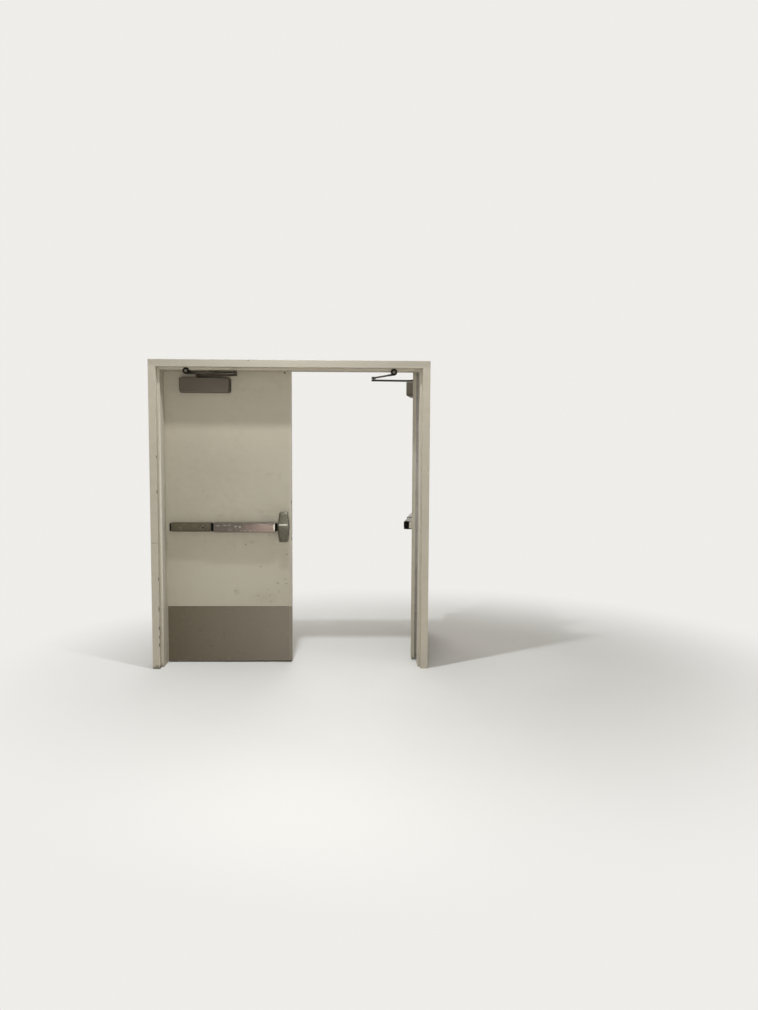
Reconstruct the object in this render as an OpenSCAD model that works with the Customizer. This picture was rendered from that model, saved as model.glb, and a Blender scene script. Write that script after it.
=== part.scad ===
// Pair of hollow-metal exit doors in a pressed-steel frame, one leaf shut and one held open.
// X runs along the opening, Y from the push side to the pull side, Z up. Millimetres.

/* [Opening] */
// Clear width between the two jamb rabbets
open_w = 1829; // [1500:1:2400]
// Clear height from the floor to the head rabbet
open_h = 2103; // [2000:1:2500]

/* [Frame] */
// Width of the frame face round the opening
face_w = 51; // [40:1:90]
// Depth of the frame from front face to back face
frame_d = 222; // [190:1:300]
// Depth of each rabbet
rabbet_d = 49; // [46:0.5:60]
// Height of the stop between the two rabbets
stop_h = 16; // [12:0.5:22]
// Thickness of the frame sheet
sheet_t = 2; // [1.2:0.1:3]
// Length of the hem that turns back along the wall
return_w = 13; // [8:1:20]
// Inside radius of the folds in the frame sheet
fold_r = 1; // [0.5:0.1:2]
// Height of one wall anchor strap
anchor_h = 40; // [25:1:60]
// Thickness of the anchor steel
anchor_t = 3; // [2:0.5:5]
// Number of wall anchors in each jamb
anchor_count = 4; // [2:1:6]
// Diameter of the bolt holes in the floor anchors
bolt_hole_d = 10; // [6:0.5:14]
// Distance between the two bolt holes of a floor anchor
bolt_pitch = 60; // [40:1:90]
// Diameter of the rubber door silencers
silencer_d = 9.5; // [6:0.5:14]

/* [Leaves] */
// Thickness of a door leaf
leaf_t = 44; // [38:0.5:46]
// Clearance between a leaf and the head rabbet
head_gap = 5; // [5:0.5:10]
// Clearance between a leaf and the floor
floor_gap = 12; // [8:1:25]
// Clearance between the two leaves where they meet
meeting_gap = 7; // [6.5:0.5:12]
// Clearance between a leaf and the stop
stop_gap = 5; // [5:0.5:8]
// Depth of the open channels in the top and bottom edges
channel_d = 16; // [8:1:30]
// Wall left on each side of those channels
channel_wall = 3; // [1.5:0.5:8]
// Radius of the folded vertical corners of a leaf
leaf_r = 2; // [1:0.5:4]
// Angle at which the right leaf is held open
held_open = 99; // [0:1:105]
// Width of the metal guard along the meeting edge
guard_w = 17; // [10:1:40]
// Thickness of the guard and of the kick plate
trim_t = 1.3; // [0.8:0.1:3]
// Height of the kick plate
kick_h = 398; // [150:1:600]
// Margin between the kick plate and the leaf's bottom edge
kick_margin = 2.5; // [1:0.5:20]
// Margin between the kick plate and the edge guard
kick_side = 1; // [1:0.5:40]

/* [Hinges] */
// Diameter of the hinge pin
pin_d = 6.4; // [4:0.1:8]
// Outside diameter of the hinge knuckles
barrel_d = 11; // [9:0.5:14]
// Thickness of the two hinge plates
hinge_t = 2; // [1.5:0.1:3]
// Width of the hinge plates across the edge of the leaf
hinge_w = 20; // [14:1:40]
// Clearance between the two hinge plates with the door shut
hinge_gap = 5; // [4:0.5:6]
// Distance of the pin behind the back face of the frame
pin_out = 6; // [6:0.5:10]
// Length of one hinge knuckle
knuckle_l = 52; // [30:1:80]
// Clearance between neighbouring knuckles
knuckle_gap = 0.6; // [0.3:0.1:1]
// Radial clearance between pin and knuckle bore
pin_fit = 0.2; // [0.1:0.05:0.4]

/* [Door closers] */
// Length of the closer cover
closer_l = 365; // [320:1:420]
// Height of the closer cover
closer_h = 106; // [80:1:112]
// Depth of the closer cover
closer_d = 60; // [54:1:75]
// Distance from the hinge axis to the near end of the cover
closer_u = 119; // [100:1:160]
// Draft of the cover at each end, from the leaf to its front
cover_draft = 11; // [4:0.5:16]
// Distance from the stop down to the top of the cover
closer_drop = 46.5; // [44:0.5:60]
// Wall of the closer cover
cover_t = 2; // [1.5:0.1:3]
// Distance from the hinge axis to the closer's pinion
pinion_u = 261; // [240:1:290]
// Diameter of the pinion shaft
pinion_d = 16; // [12:0.5:20]
// Length of the main arm between its centres
main_arm_l = 288; // [250:1:300]
// Distance that the elbow stands out from the pinion with the door shut
elbow_out = 106; // [70:1:130]
// Distance from the hinge axis to the shoe's pivot along the head
shoe_u = 194; // [165:1:205]
// Distance from the hinge axis to the shoe's pivot across the frame
shoe_v = 80; // [70:1:95]
// Thickness of the main arm
arm_t = 9; // [6:0.5:10]
// Width of the main arm at the pinion
arm_w = 32; // [26:1:38]
// Diameter of the forearm rod
rod_d = 12; // [8:0.5:13]
// Diameter of the two hubs at the elbow
elbow_d = 34; // [26:1:38]
// Clearance between the arms, one above the other
arm_gap = 4; // [2:0.5:6]
// Diameter of the round stop housing in front of the shoe
housing_d = 46; // [36:1:52]

/* [Exit devices] */
// Height of the middle of the touch bar above the floor
bar_z = 988; // [900:1:1100]
// Distance from the hinge axis to the start of the device
device_u = 49; // [36:1:80]
// Length of the black end cap
end_cap_l = 12; // [8:1:20]
// Length of the mechanism case
case_l = 280; // [200:1:320]
// Height of the mechanism case
case_h = 60; // [54:1:68]
// Depth of the mechanism case
case_d = 64; // [54:1:68]
// Height of the touchpad
pad_h = 68; // [60:1:76]
// Projection of the touchpad's front from the leaf
pad_out = 70; // [64:1:78]
// Depth of the touchpad shell
pad_d = 34; // [28:1:42]
// Wall of the touchpad shell
pad_t = 2.5; // [2:0.1:4]
// Length of each black cap on the touchpad
pad_cap_l = 14; // [10:1:24]
// Distance that those caps lie back from the pad's edges and front
cap_inset = 6; // [3:0.5:8]
// Running gap at each end of the touchpad
pad_gap = 5; // [5:0.5:8]
// Travel of the touchpad when it is pushed
pad_travel = 16; // [8:1:18]
// Height of the rail behind the touchpad
rail_h = 50; // [40:1:54]
// Depth of the rail behind the touchpad
rail_d = 24; // [18:1:28]
// Width of the head at the meeting edge
head_w = 78; // [70:1:110]
// Height of the head
head_h = 210; // [180:1:240]
// Depth of the head at its ridge
head_d = 80; // [74:1:90]
// Margin between the head and the edge guard
head_margin = 1; // [0.5:0.5:20]

/* [Hidden] */

$fn = 48;
eps = 0.01;
paint = "#b3ac9b";
steel = "#8f8b84";
dark_metal = "#5a524a";
black = "#1c1b1a";
rubber = "#4a4844";

// Frame levels
outer_w = open_w + 2 * face_w;
outer_h = open_h + face_w;
stop_z = open_h - stop_h;
stop_back = frame_d - rabbet_d;
fold_steps = 4;

// Hinge axis of a leaf, measured in the shut position
hinge_inset = hinge_gap / 2 + hinge_t;
pivot_x = open_w / 2 - hinge_inset;
pivot_y = frame_d + pin_out;

// Leaf, with u from the hinge axis towards the free edge and v towards the pull side
push_v = stop_back + stop_gap - pivot_y;
pull_v = push_v + leaf_t;
leaf_u = hinge_inset;
leaf_end = pivot_x - meeting_gap / 2;
leaf_w = leaf_end - leaf_u;
leaf_top = open_h - head_gap;
leaf_h = leaf_top - floor_gap;

// Hinge knuckles
plate_back = -barrel_d / 2 - 0.7;
plate_v = plate_back - hinge_w;
knuckle_count = 2 * floor((leaf_h / knuckle_l - 1) / 2) + 1;
knuckle_step = leaf_h / knuckle_count;

// Closer levels
closer_top = stop_z - closer_drop;
closer_z = closer_top - closer_h;
pinion_v = push_v - closer_d / 2;
main_arm_z = closer_top + 5;
forearm_t = 1.5 * arm_t;
forearm_z = main_arm_z + 1.6 * arm_t + arm_gap;
boss_z = forearm_z + forearm_t + 2;
elbow_pin_d = elbow_d * 0.3;
cover_hole_d = pinion_d + 12;

// Exit device positions along the leaf
case_u = device_u + end_cap_l;
case_end = case_u + case_l;
head_end = leaf_end - guard_w - head_margin;
head_u = head_end - head_w;
pad_u = case_end + pad_gap;
pad_end = head_u - pad_gap;
pad_l = pad_end - pad_u;
pad_back = rail_d + pad_travel + 2;
dog_u = case_end - 56;
plunger_d = 10;
plunger_fit = 0.25;

// One rounded corner of an outline at b, between its neighbours a and c
function unit(v) = v / norm(v);
function turn_of(from, to) =
    let(d = atan2(to.y, to.x) - atan2(from.y, from.x)) (d + 540) % 360 - 180;
function corner(a, b, c, r) =
    r == 0 ? [b] :
    let(
        u = unit(a - b),
        w = unit(c - b),
        half = acos(u * w) / 2,
        centre = b + unit(u + w) * r / sin(half),
        first = b + u * r / tan(half) - centre,
        last = b + w * r / tan(half) - centre,
        start = atan2(first.y, first.x),
        sweep = turn_of(first, last)
    )
    [for (i = [0 : fold_steps])
        let(t = start + sweep * i / fold_steps) centre + r * [cos(t), sin(t)]];
function outline(points, radii) =
    let(n = len(points))
    [for (i = [0 : n - 1])
        each corner(points[(i + n - 1) % n], points[i], points[(i + 1) % n], radii[i])];

// Section of the folded frame sheet: first value outwards from the opening, second through the wall
module frame_section() {
    t = sheet_t;
    r = fold_r;
    o = fold_r + sheet_t;
    front = t + rabbet_d;
    back = stop_back - t;
    polygon(outline(
        [
            [face_w, return_w], [face_w, 0], [0, 0], [0, rabbet_d], [-stop_h, rabbet_d],
            [-stop_h, stop_back], [0, stop_back], [0, frame_d], [face_w, frame_d],
            [face_w, frame_d - return_w],
            [face_w - t, frame_d - return_w], [face_w - t, frame_d - t], [t, frame_d - t],
            [t, back], [t - stop_h, back], [t - stop_h, front], [t, front], [t, t],
            [face_w - t, t], [face_w - t, return_w]
        ],
        [0, o, o, r, o, o, r, o, o, 0, 0, r, r, o, r, r, o, r, r, 0]
    ));
}

// Everything under the mitre of the left upper corner, through the whole depth
module below_mitre() {
    reach = face_w + 10;
    translate([-open_w / 2, frame_d + 10, open_h])
        rotate([90, 0, 0])
            linear_extrude(frame_d + 20)
                polygon([
                    [-reach, reach], [stop_h + 10, -stop_h - 10],
                    [stop_h + 10, -open_h - 10], [-reach, -open_h - 10]
                ]);
}

// One jamb on the left, cut at the mitre
module jamb() {
    color(paint)
        intersection() {
            translate([-open_w / 2, 0, 0])
                mirror([1, 0, 0])
                    linear_extrude(outer_h)
                        frame_section();
            below_mitre();
        }
}

// The head between the two mitres, with flush cut-outs for the strikes
module head_member() {
    color(paint)
        difference() {
            translate([-outer_w / 2, 0, open_h])
                rotate([90, 0, 90])
                    linear_extrude(outer_w)
                        mirror([1, 0, 0])
                            rotate(90)
                                frame_section();
            below_mitre();
            mirror([1, 0, 0]) below_mitre();
            for (side = [-1, 1]) strike_seat(side, 0);
        }
}

// The seat of one top strike in the head rabbet, with a clearance all round
strike_l = 70;
strike_w = 28;
strike_x = 60;
silencer_x = strike_x + strike_l + 10;
module strike_seat(side, inset) {
    translate([
        side * strike_x - strike_l / 2 + inset,
        stop_back + (rabbet_d - strike_w) / 2 + inset,
        open_h - (inset > 0 ? 0 : 1)
    ])
        cube([strike_l - 2 * inset, strike_w - 2 * inset, sheet_t + (inset > 0 ? 0 : 2)]);
}

// Two flush strike plates with the slots that the top bolts enter
module strikes() {
    color(steel)
        for (side = [-1, 1])
            difference() {
                strike_seat(side, 0.2);
                translate([side * strike_x, stop_back + rabbet_d / 2, open_h - 1])
                    linear_extrude(sheet_t + 2)
                        union() {
                            square([20, 14], center = true);
                            for (s = [-1, 1]) translate([s * 10, 0]) circle(d = 14);
                        }
            }
}

// Rubber silencers in the back of the head stop
module silencer_set() {
    color(rubber)
        for (side = [-1, 1])
            translate([side * silencer_x, stop_back, stop_z + stop_h / 2 - 1])
                rotate([-90, 0, 0])
                    cylinder(h = stop_gap - 0.3, d = silencer_d);
}

// Straps that tie the two faces of a jamb together and take the wall screws
module wall_straps() {
    inner = frame_d - 2 * sheet_t;
    strap_x = -open_w / 2 - face_w / 2;
    color(steel)
        for (i = [0 : anchor_count - 1])
            translate([strap_x, sheet_t, outer_h * (i + 0.6) / anchor_count - anchor_h / 2])
                difference() {
                    union() {
                        cube([anchor_t, inner, anchor_h]);
                        for (y = [0, inner - anchor_t])
                            translate([-12, y, 0]) cube([12 + eps, anchor_t, anchor_h]);
                    }
                    for (y = [inner * 0.3, inner * 0.7])
                        translate([-1, y, anchor_h / 2])
                            rotate([0, 90, 0]) cylinder(h = anchor_t + 2, d = 6);
                }
}

// Angle clip welded in the foot of a jamb, bolted to the floor
clip_w = 34;
clip_l = bolt_pitch + 40;
clip_h = 60;
clip_x = -open_w / 2 + stop_h - sheet_t;
clip_centre = [clip_x - clip_w / 2, frame_d / 2];
module floor_clip() {
    color(steel)
        difference() {
            union() {
                translate([clip_x - clip_w, frame_d / 2 - clip_l / 2, 0])
                    cube([clip_w, clip_l, anchor_t]);
                translate([clip_x - anchor_t, frame_d / 2 - clip_l / 2, 0])
                    cube([anchor_t, clip_l, clip_h]);
            }
            for (s = [-1, 1])
                translate([clip_centre.x, clip_centre.y + s * bolt_pitch / 2, -1])
                    cylinder(h = anchor_t + 2, d = bolt_hole_d);
        }
}

// Rectangle with round corners, from its lower left corner
module soft_rect(size, r) {
    translate([r, 0]) square([size.x - 2 * r, size.y]);
    translate([0, r]) square([size.x, size.y - 2 * r]);
    for (x = [r, size.x - r], y = [r, size.y - r]) translate([x, y]) circle(r);
}

// Leaf slab with the open channels of its top and bottom edges
module leaf() {
    inner = leaf_t - 2 * channel_wall;
    color(paint)
        difference() {
            translate([leaf_u, push_v, floor_gap])
                linear_extrude(leaf_h)
                    soft_rect([leaf_w, leaf_t], leaf_r);
            for (z = [floor_gap - 1, leaf_top - channel_d])
                translate([leaf_u + channel_wall, push_v + channel_wall, z])
                    cube([leaf_w - 2 * channel_wall, inner, channel_d + 1]);
        }
}

// Guard along the meeting edge, on the push face
module edge_guard() {
    color(steel)
        translate([leaf_end - guard_w, push_v - trim_t, floor_gap])
            cube([guard_w, trim_t, leaf_h]);
}

// Kick plate between the stop line and the edge guard
module kick_plate() {
    start = stop_h + stop_gap - hinge_inset;
    color(dark_metal)
        translate([start, push_v - trim_t, floor_gap + kick_margin])
            cube([leaf_end - guard_w - kick_side - start, trim_t, kick_h]);
}

// Places of the knuckles that belong to the frame (0) or to the door (1)
function knuckle_start(i) = floor_gap + i * knuckle_step + knuckle_gap / 2;
module hinge_plate(first) {
    side = first == 0 ? -1 : 1;
    x = side > 0 ? hinge_gap / 2 : -hinge_inset;
    length = knuckle_step - knuckle_gap;
    color(steel)
        difference() {
            union() {
                translate([x, plate_v, floor_gap])
                    cube([hinge_t, plate_back - plate_v, leaf_h]);
                for (i = [first : 2 : knuckle_count - 1])
                    translate([0, 0, knuckle_start(i)]) {
                        cylinder(h = length, d = barrel_d);
                        translate([x, plate_back - eps, 0])
                            cube([hinge_t, -plate_back + eps, length]);
                    }
            }
            translate([0, 0, floor_gap - 1])
                cylinder(h = leaf_h + 2, d = pin_d + 2 * pin_fit);
        }
}

// Hinge pin with its two caps
module hinge_pin() {
    cap_h = 3;
    color(steel)
        union() {
            translate([0, 0, floor_gap - cap_h]) cylinder(h = leaf_h + 2 * cap_h, d = pin_d);
            for (z = [floor_gap - cap_h, leaf_top]) translate([0, 0, z]) cylinder(h = cap_h, d = barrel_d);
        }
}

// Cast closer body under the cover
module closer_body() {
    tube_d = 44;
    z = closer_z + closer_h / 2;
    color(steel)
        difference() {
            union() {
                translate([closer_u + 20, push_v - closer_d / 2, z])
                    rotate([0, 90, 0]) cylinder(h = closer_l - 40, d = tube_d);
                translate([closer_u + 40, push_v - closer_d / 2, z - 30])
                    cube([closer_l - 80, closer_d / 2, 60]);
                translate([pinion_u, pinion_v, z]) cylinder(h = closer_top - 8 - z, d = 38);
            }
            translate([pinion_u, pinion_v, closer_top - 40]) cylinder(h = 60, d = pinion_d + 0.6);
        }
}

// Cover as a block with drafted ends and soft corners, made smaller by an inset all round
module cover_block(inset) {
    l = closer_l - 2 * inset;
    h = closer_h - 2 * inset;
    back = inset > 0 ? 1 : 0;
    front = push_v - closer_d + inset;
    intersection() {
        translate([closer_u + inset, push_v + back, closer_z + inset])
            rotate([90, 0, 0])
                linear_extrude(closer_d + back)
                    polygon(outline([[0, 0], [l, 0], [l, h], [0, h]], [14, 14, 6, 6]));
        translate([closer_u + inset, 0, closer_z])
            linear_extrude(closer_h)
                polygon(outline(
                    [
                        [0, push_v + 2], [l, push_v + 2],
                        [l - cover_draft, front], [cover_draft, front]
                    ],
                    [0, 0, 5, 5]
                ));
        translate([closer_u, 0, closer_z + inset])
            rotate([90, 0, 90])
                linear_extrude(closer_l)
                    polygon(outline(
                        [[push_v + 2, 0], [push_v + 2, h], [front, h - 2], [front, 2]],
                        [0, 0, 4, 4]
                    ));
    }
}

// Hollow cover over the closer, open towards the leaf
module closer_cover() {
    color(dark_metal)
        difference() {
            cover_block(0);
            cover_block(cover_t);
            translate([pinion_u, pinion_v, closer_top - 10]) cylinder(h = 20, d = cover_hole_d);
        }
}

// Directions of the two arms with the leaf open by a given angle
shoe_at = [shoe_u, -shoe_v];
elbow_shut = [
    pinion_u + sqrt(main_arm_l * main_arm_l - elbow_out * elbow_out), pinion_v - elbow_out
];
forearm_l = norm(elbow_shut - shoe_at);
function pinion_at(open) =
    [pinion_u * cos(open) - pinion_v * sin(open), pinion_u * sin(open) + pinion_v * cos(open)];
function main_arm_dir(open) =
    let(d = shoe_at - pinion_at(open), s = norm(d))
    atan2(d.y, d.x)
        + acos((s * s + main_arm_l * main_arm_l - forearm_l * forearm_l) / (2 * s * main_arm_l));
function elbow_at(open) =
    pinion_at(open) + main_arm_l * [cos(main_arm_dir(open)), sin(main_arm_dir(open))];
function forearm_dir(open) =
    let(d = shoe_at - elbow_at(open)) atan2(d.y, d.x);

// Tapered flat arm on its pinion shaft, with the hub and the stud of the elbow
module main_arm(open) {
    tip_w = arm_w * 0.7;
    hub_h = 1.6 * arm_t;
    color(dark_metal)
        translate([pinion_at(open).x, pinion_at(open).y, 0])
            rotate(main_arm_dir(open)) {
                translate([0, 0, main_arm_z])
                    linear_extrude(arm_t)
                        polygon([[0, -arm_w / 2], [main_arm_l, -tip_w / 2],
                                 [main_arm_l, tip_w / 2], [0, arm_w / 2]]);
                translate([0, 0, main_arm_z]) cylinder(h = hub_h, d = arm_w + 4);
                translate([0, 0, closer_top - 30])
                    cylinder(h = main_arm_z - closer_top + 30 + hub_h + 2, d = pinion_d);
                translate([main_arm_l, 0, main_arm_z]) {
                    cylinder(h = hub_h, d = elbow_d);
                    cylinder(h = hub_h + arm_gap + forearm_t + 3, d = elbow_pin_d);
                }
            }
}

// Rod from the elbow to the shoe, with a thicker adjusting sleeve at the shoe's end
module forearm(open) {
    eye_d = elbow_d * 0.82;
    sleeve_l = forearm_l * 0.2;
    bar_w = rod_d * 0.6;
    z = forearm_z + forearm_t / 2;
    color(dark_metal)
        translate([elbow_at(open).x, elbow_at(open).y, 0])
            rotate(forearm_dir(open))
                difference() {
                    union() {
                        translate([0, 0, forearm_z]) cylinder(h = forearm_t, d = elbow_d);
                        translate([forearm_l, 0, forearm_z]) cylinder(h = forearm_t, d = eye_d);
                        translate([0, 0, z])
                            rotate([0, 90, 0]) cylinder(h = forearm_l, d = rod_d);
                        translate([forearm_l - eye_d / 2 - sleeve_l, -bar_w, z - bar_w])
                            cube([sleeve_l + eye_d / 2, 2 * bar_w, 2 * bar_w]);
                    }
                    translate([0, 0, forearm_z - 5])
                        cylinder(h = forearm_t + 10, d = elbow_pin_d + 0.5);
                }
}

// Shoe under the head stop, reaching forward to a round stop housing in front of it
module shoe() {
    plate_w = housing_d * 0.7;
    reach = rabbet_d - pivot_y - 1;
    housing_t = 12;
    housing_z = open_h - 1 - housing_d / 2;
    color(dark_metal)
        difference() {
            union() {
                translate([shoe_at.x - plate_w / 2, reach, stop_z - 6])
                    cube([plate_w, shoe_at.y + plate_w / 2 - reach, 6]);
                translate([shoe_at.x, shoe_at.y, boss_z]) cylinder(h = stop_z - boss_z, d = elbow_d * 0.8);
                translate([shoe_at.x, reach + 0.5, housing_z])
                    rotate([90, 0, 0]) cylinder(h = housing_t, d = housing_d);
            }
            translate([shoe_at.x, reach - housing_t + 3, housing_z])
                rotate([90, 0, 0]) cylinder(h = 6, d = housing_d * 0.62);
        }
}

// Rail of the exit device behind the touchpad, with the guides for its plungers
module bar_rail() {
    z0 = bar_z - rail_h / 2;
    t = 2.5;
    color(steel)
        difference() {
            union() {
                difference() {
                    translate([case_end, push_v - rail_d, z0]) cube([head_u - case_end, rail_d, rail_h]);
                    translate([case_end - 1, push_v - rail_d - 1, z0 + t])
                        cube([head_u - case_end + 2, rail_d - t + 1, rail_h - 2 * t]);
                }
                for (u = plunger_places)
                    translate([u - 12, push_v - rail_d, z0 + t - eps])
                        cube([24, rail_d - t + eps, rail_h - 2 * t + 2 * eps]);
            }
            for (u = plunger_places)
                translate([u, push_v - 1, bar_z])
                    rotate([90, 0, 0]) cylinder(h = rail_d + 2, d = plunger_d + 2 * plunger_fit);
        }
}
plunger_places = [pad_u + pad_l * 0.2, pad_u + pad_l * 0.8];

// Mechanism case at the hinge end, with the boss and the keyway of its dogging cylinder
module bar_case() {
    boss_d = case_h * 0.62;
    color(steel)
        difference() {
            union() {
                translate([case_u, push_v, bar_z])
                    rotate([90, 0, 90])
                        linear_extrude(case_l)
                            case_section(0);
                translate([dog_u, push_v - case_d + 1, bar_z])
                    rotate([90, 0, 0]) cylinder(h = 3, d = boss_d);
            }
            translate([dog_u - 2.5, push_v - case_d - 3, bar_z - 8]) cube([5, 9, 16]);
        }
}

// Section of the case, made smaller by an inset, with rounded front corners
module case_section(inset) {
    h = case_h / 2 - inset;
    front = inset - case_d;
    polygon(outline([[0, -h], [0, h], [front, h], [front, -h]], [0, 0, 8, 8]));
}

// Black cap on the hinge end of the case
module bar_end_cap() {
    color(black)
        translate([device_u, push_v, bar_z])
            rotate([90, 0, 90])
                linear_extrude(end_cap_l)
                    case_section(1.5);
}

// Head of the device: a sloped ridge across its front and a bevel towards the touchpad
module bar_head() {
    top = head_h / 2;
    ridge = head_h * 0.13;
    bevel = head_w * 0.15;
    taper = head_w * 0.17;
    color(steel)
        intersection() {
            translate([head_u, push_v, bar_z])
                rotate([90, 0, 90])
                    linear_extrude(head_w)
                        polygon(outline(
                            [
                                [0, -top], [0, top], [-head_d * 0.76, top],
                                [-head_d * 0.87, ridge], [-head_d, ridge / 2],
                                [-head_d * 0.74, -top]
                            ],
                            [0, 0, 4, 4, 4, 4]
                        ));
            translate([0, 0, bar_z - top])
                linear_extrude(head_h)
                    polygon(outline(
                        [
                            [head_u, push_v], [head_u, push_v - head_d * 0.62],
                            [head_u + bevel, push_v - head_d], [head_end, push_v - head_d],
                            [head_end, push_v]
                        ],
                        [0, 2, 2, 3, 0]
                    ));
            translate([head_u, push_v + 1, bar_z])
                rotate([90, 0, 0])
                    linear_extrude(head_d + 2)
                        polygon(outline(
                            [
                                [taper * 0.8, -top], [head_w - taper * 0.8, -top],
                                [head_w, -ridge], [head_w, ridge], [head_w - taper, top],
                                [taper, top], [0, ridge], [0, -ridge]
                            ],
                            [7, 7, 20, 20, 8, 8, 20, 20]
                        ));
        }
}

// Section of the touchpad: a shallow channel with a softly crowned front
module pad_section() {
    r = 7;
    h = pad_h / 2;
    front = -pad_out;
    back = front + pad_d;
    polygon(outline(
        [
            [back, h], [front, h], [front, -h], [back, -h],
            [back, pad_t - h], [front + pad_t, pad_t - h], [front + pad_t, h - pad_t], [back, h - pad_t]
        ],
        [0, r, r, 0, 0, r - pad_t, r - pad_t, 0]
    ));
}

// Touchpad shell with the two plungers that slide in the rail
module touchpad() {
    color(steel)
        union() {
            translate([pad_u + pad_cap_l, push_v, bar_z])
                rotate([90, 0, 90])
                    linear_extrude(pad_l - 2 * pad_cap_l)
                        pad_section();
            for (u = plunger_places)
                translate([u, push_v - pad_out + pad_t - eps, bar_z])
                    rotate([-90, 0, 0])
                        cylinder(h = pad_out - pad_t - pad_travel - 4, d = plunger_d);
        }
}

// Black end caps of the touchpad, plugged into its shell and clear of the rail when it is pushed
module cap_block(length, h, front) {
    rotate([90, 0, 90])
        linear_extrude(length)
            polygon(outline([[-pad_back, h], [front, h], [front, -h], [-pad_back, -h]], [0, 4, 4, 0]));
}
module pad_caps() {
    plug_l = 10;
    plug_h = pad_h / 2 - pad_t;
    color(black)
        for (side = [0, 1])
            translate([side == 0 ? pad_u : pad_end, push_v, bar_z])
                mirror([side, 0, 0])
                    union() {
                        cap_block(pad_cap_l + 1, pad_h / 2 - cap_inset, cap_inset - pad_out);
                        translate([pad_cap_l, 0, 0]) cap_block(plug_l, plug_h, pad_t + 2 - pad_out);
                    }
}

// The origin lies under the middle of the left floor anchor
module seated() {
    translate([-clip_centre.x, -clip_centre.y, 0]) children();
}

// What belongs to the frame on the left, or mirrored to the right
module left_side() {
    seated() children();
}
module right_side() {
    seated() mirror([1, 0, 0]) children();
}

// What is drawn round the hinge axis, fixed to the frame
module at_axis() {
    translate([-pivot_x, pivot_y, 0]) children();
}

// What is drawn round the hinge axis and swings with a leaf
module swung(open) {
    at_axis() rotate(open) children();
}

seated() head_member();  // frame_head
left_side() jamb();  // frame_jamb_left
right_side() jamb();  // frame_jamb_right
left_side() wall_straps();  // wall_anchors_left
right_side() wall_straps();  // wall_anchors_right
left_side() floor_clip();  // floor_anchor_left
right_side() floor_clip();  // floor_anchor_right
seated() silencer_set();  // silencers
seated() strikes();  // top_strikes
left_side() swung(0) leaf();  // left_leaf
left_side() swung(0) edge_guard();  // left_edge_guard
left_side() swung(0) kick_plate();  // left_kick_plate
left_side() at_axis() hinge_plate(0);  // left_hinge_frame_plate
left_side() swung(0) hinge_plate(1);  // left_hinge_door_plate
left_side() at_axis() hinge_pin();  // left_hinge_pin
left_side() swung(0) closer_body();  // left_closer_body
left_side() swung(0) closer_cover();  // left_closer_cover
left_side() at_axis() main_arm(0);  // left_closer_main_arm
left_side() at_axis() forearm(0);  // left_closer_forearm
left_side() at_axis() shoe();  // left_closer_shoe
left_side() swung(0) bar_rail();  // left_bar_rail
left_side() swung(0) bar_case();  // left_bar_case
left_side() swung(0) bar_end_cap();  // left_bar_end_cap
left_side() swung(0) bar_head();  // left_bar_head
left_side() swung(0) touchpad();  // left_touchpad
left_side() swung(0) pad_caps();  // left_pad_caps
right_side() swung(held_open) leaf();  // right_leaf
right_side() swung(held_open) edge_guard();  // right_edge_guard
right_side() swung(held_open) kick_plate();  // right_kick_plate
right_side() at_axis() hinge_plate(0);  // right_hinge_frame_plate
right_side() swung(held_open) hinge_plate(1);  // right_hinge_door_plate
right_side() at_axis() hinge_pin();  // right_hinge_pin
right_side() swung(held_open) closer_body();  // right_closer_body
right_side() swung(held_open) closer_cover();  // right_closer_cover
right_side() at_axis() main_arm(held_open);  // right_closer_main_arm
right_side() at_axis() forearm(held_open);  // right_closer_forearm
right_side() at_axis() shoe();  // right_closer_shoe
right_side() swung(held_open) bar_rail();  // right_bar_rail
right_side() swung(held_open) bar_case();  // right_bar_case
right_side() swung(held_open) bar_end_cap();  // right_bar_end_cap
right_side() swung(held_open) bar_head();  // right_bar_head
right_side() swung(held_open) touchpad();  // right_touchpad
right_side() swung(held_open) pad_caps();  // right_pad_caps
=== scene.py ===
"""Dresses a pair of steel exit doors: frame, two leaves, closers, exit devices and hinges.

Lengths are in metres. A leaf has its own coordinates: u runs from the hinge axis to the free
edge, v towards the pull side and z up, and Doorset turns them into the frame's.
"""
import logging
import math
from contextlib import contextmanager
from dataclasses import dataclass, field
from enum import Enum
from typing import Callable, Iterator, Optional, Sequence

import bmesh
import bpy
from mathutils import Matrix, Vector


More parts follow.
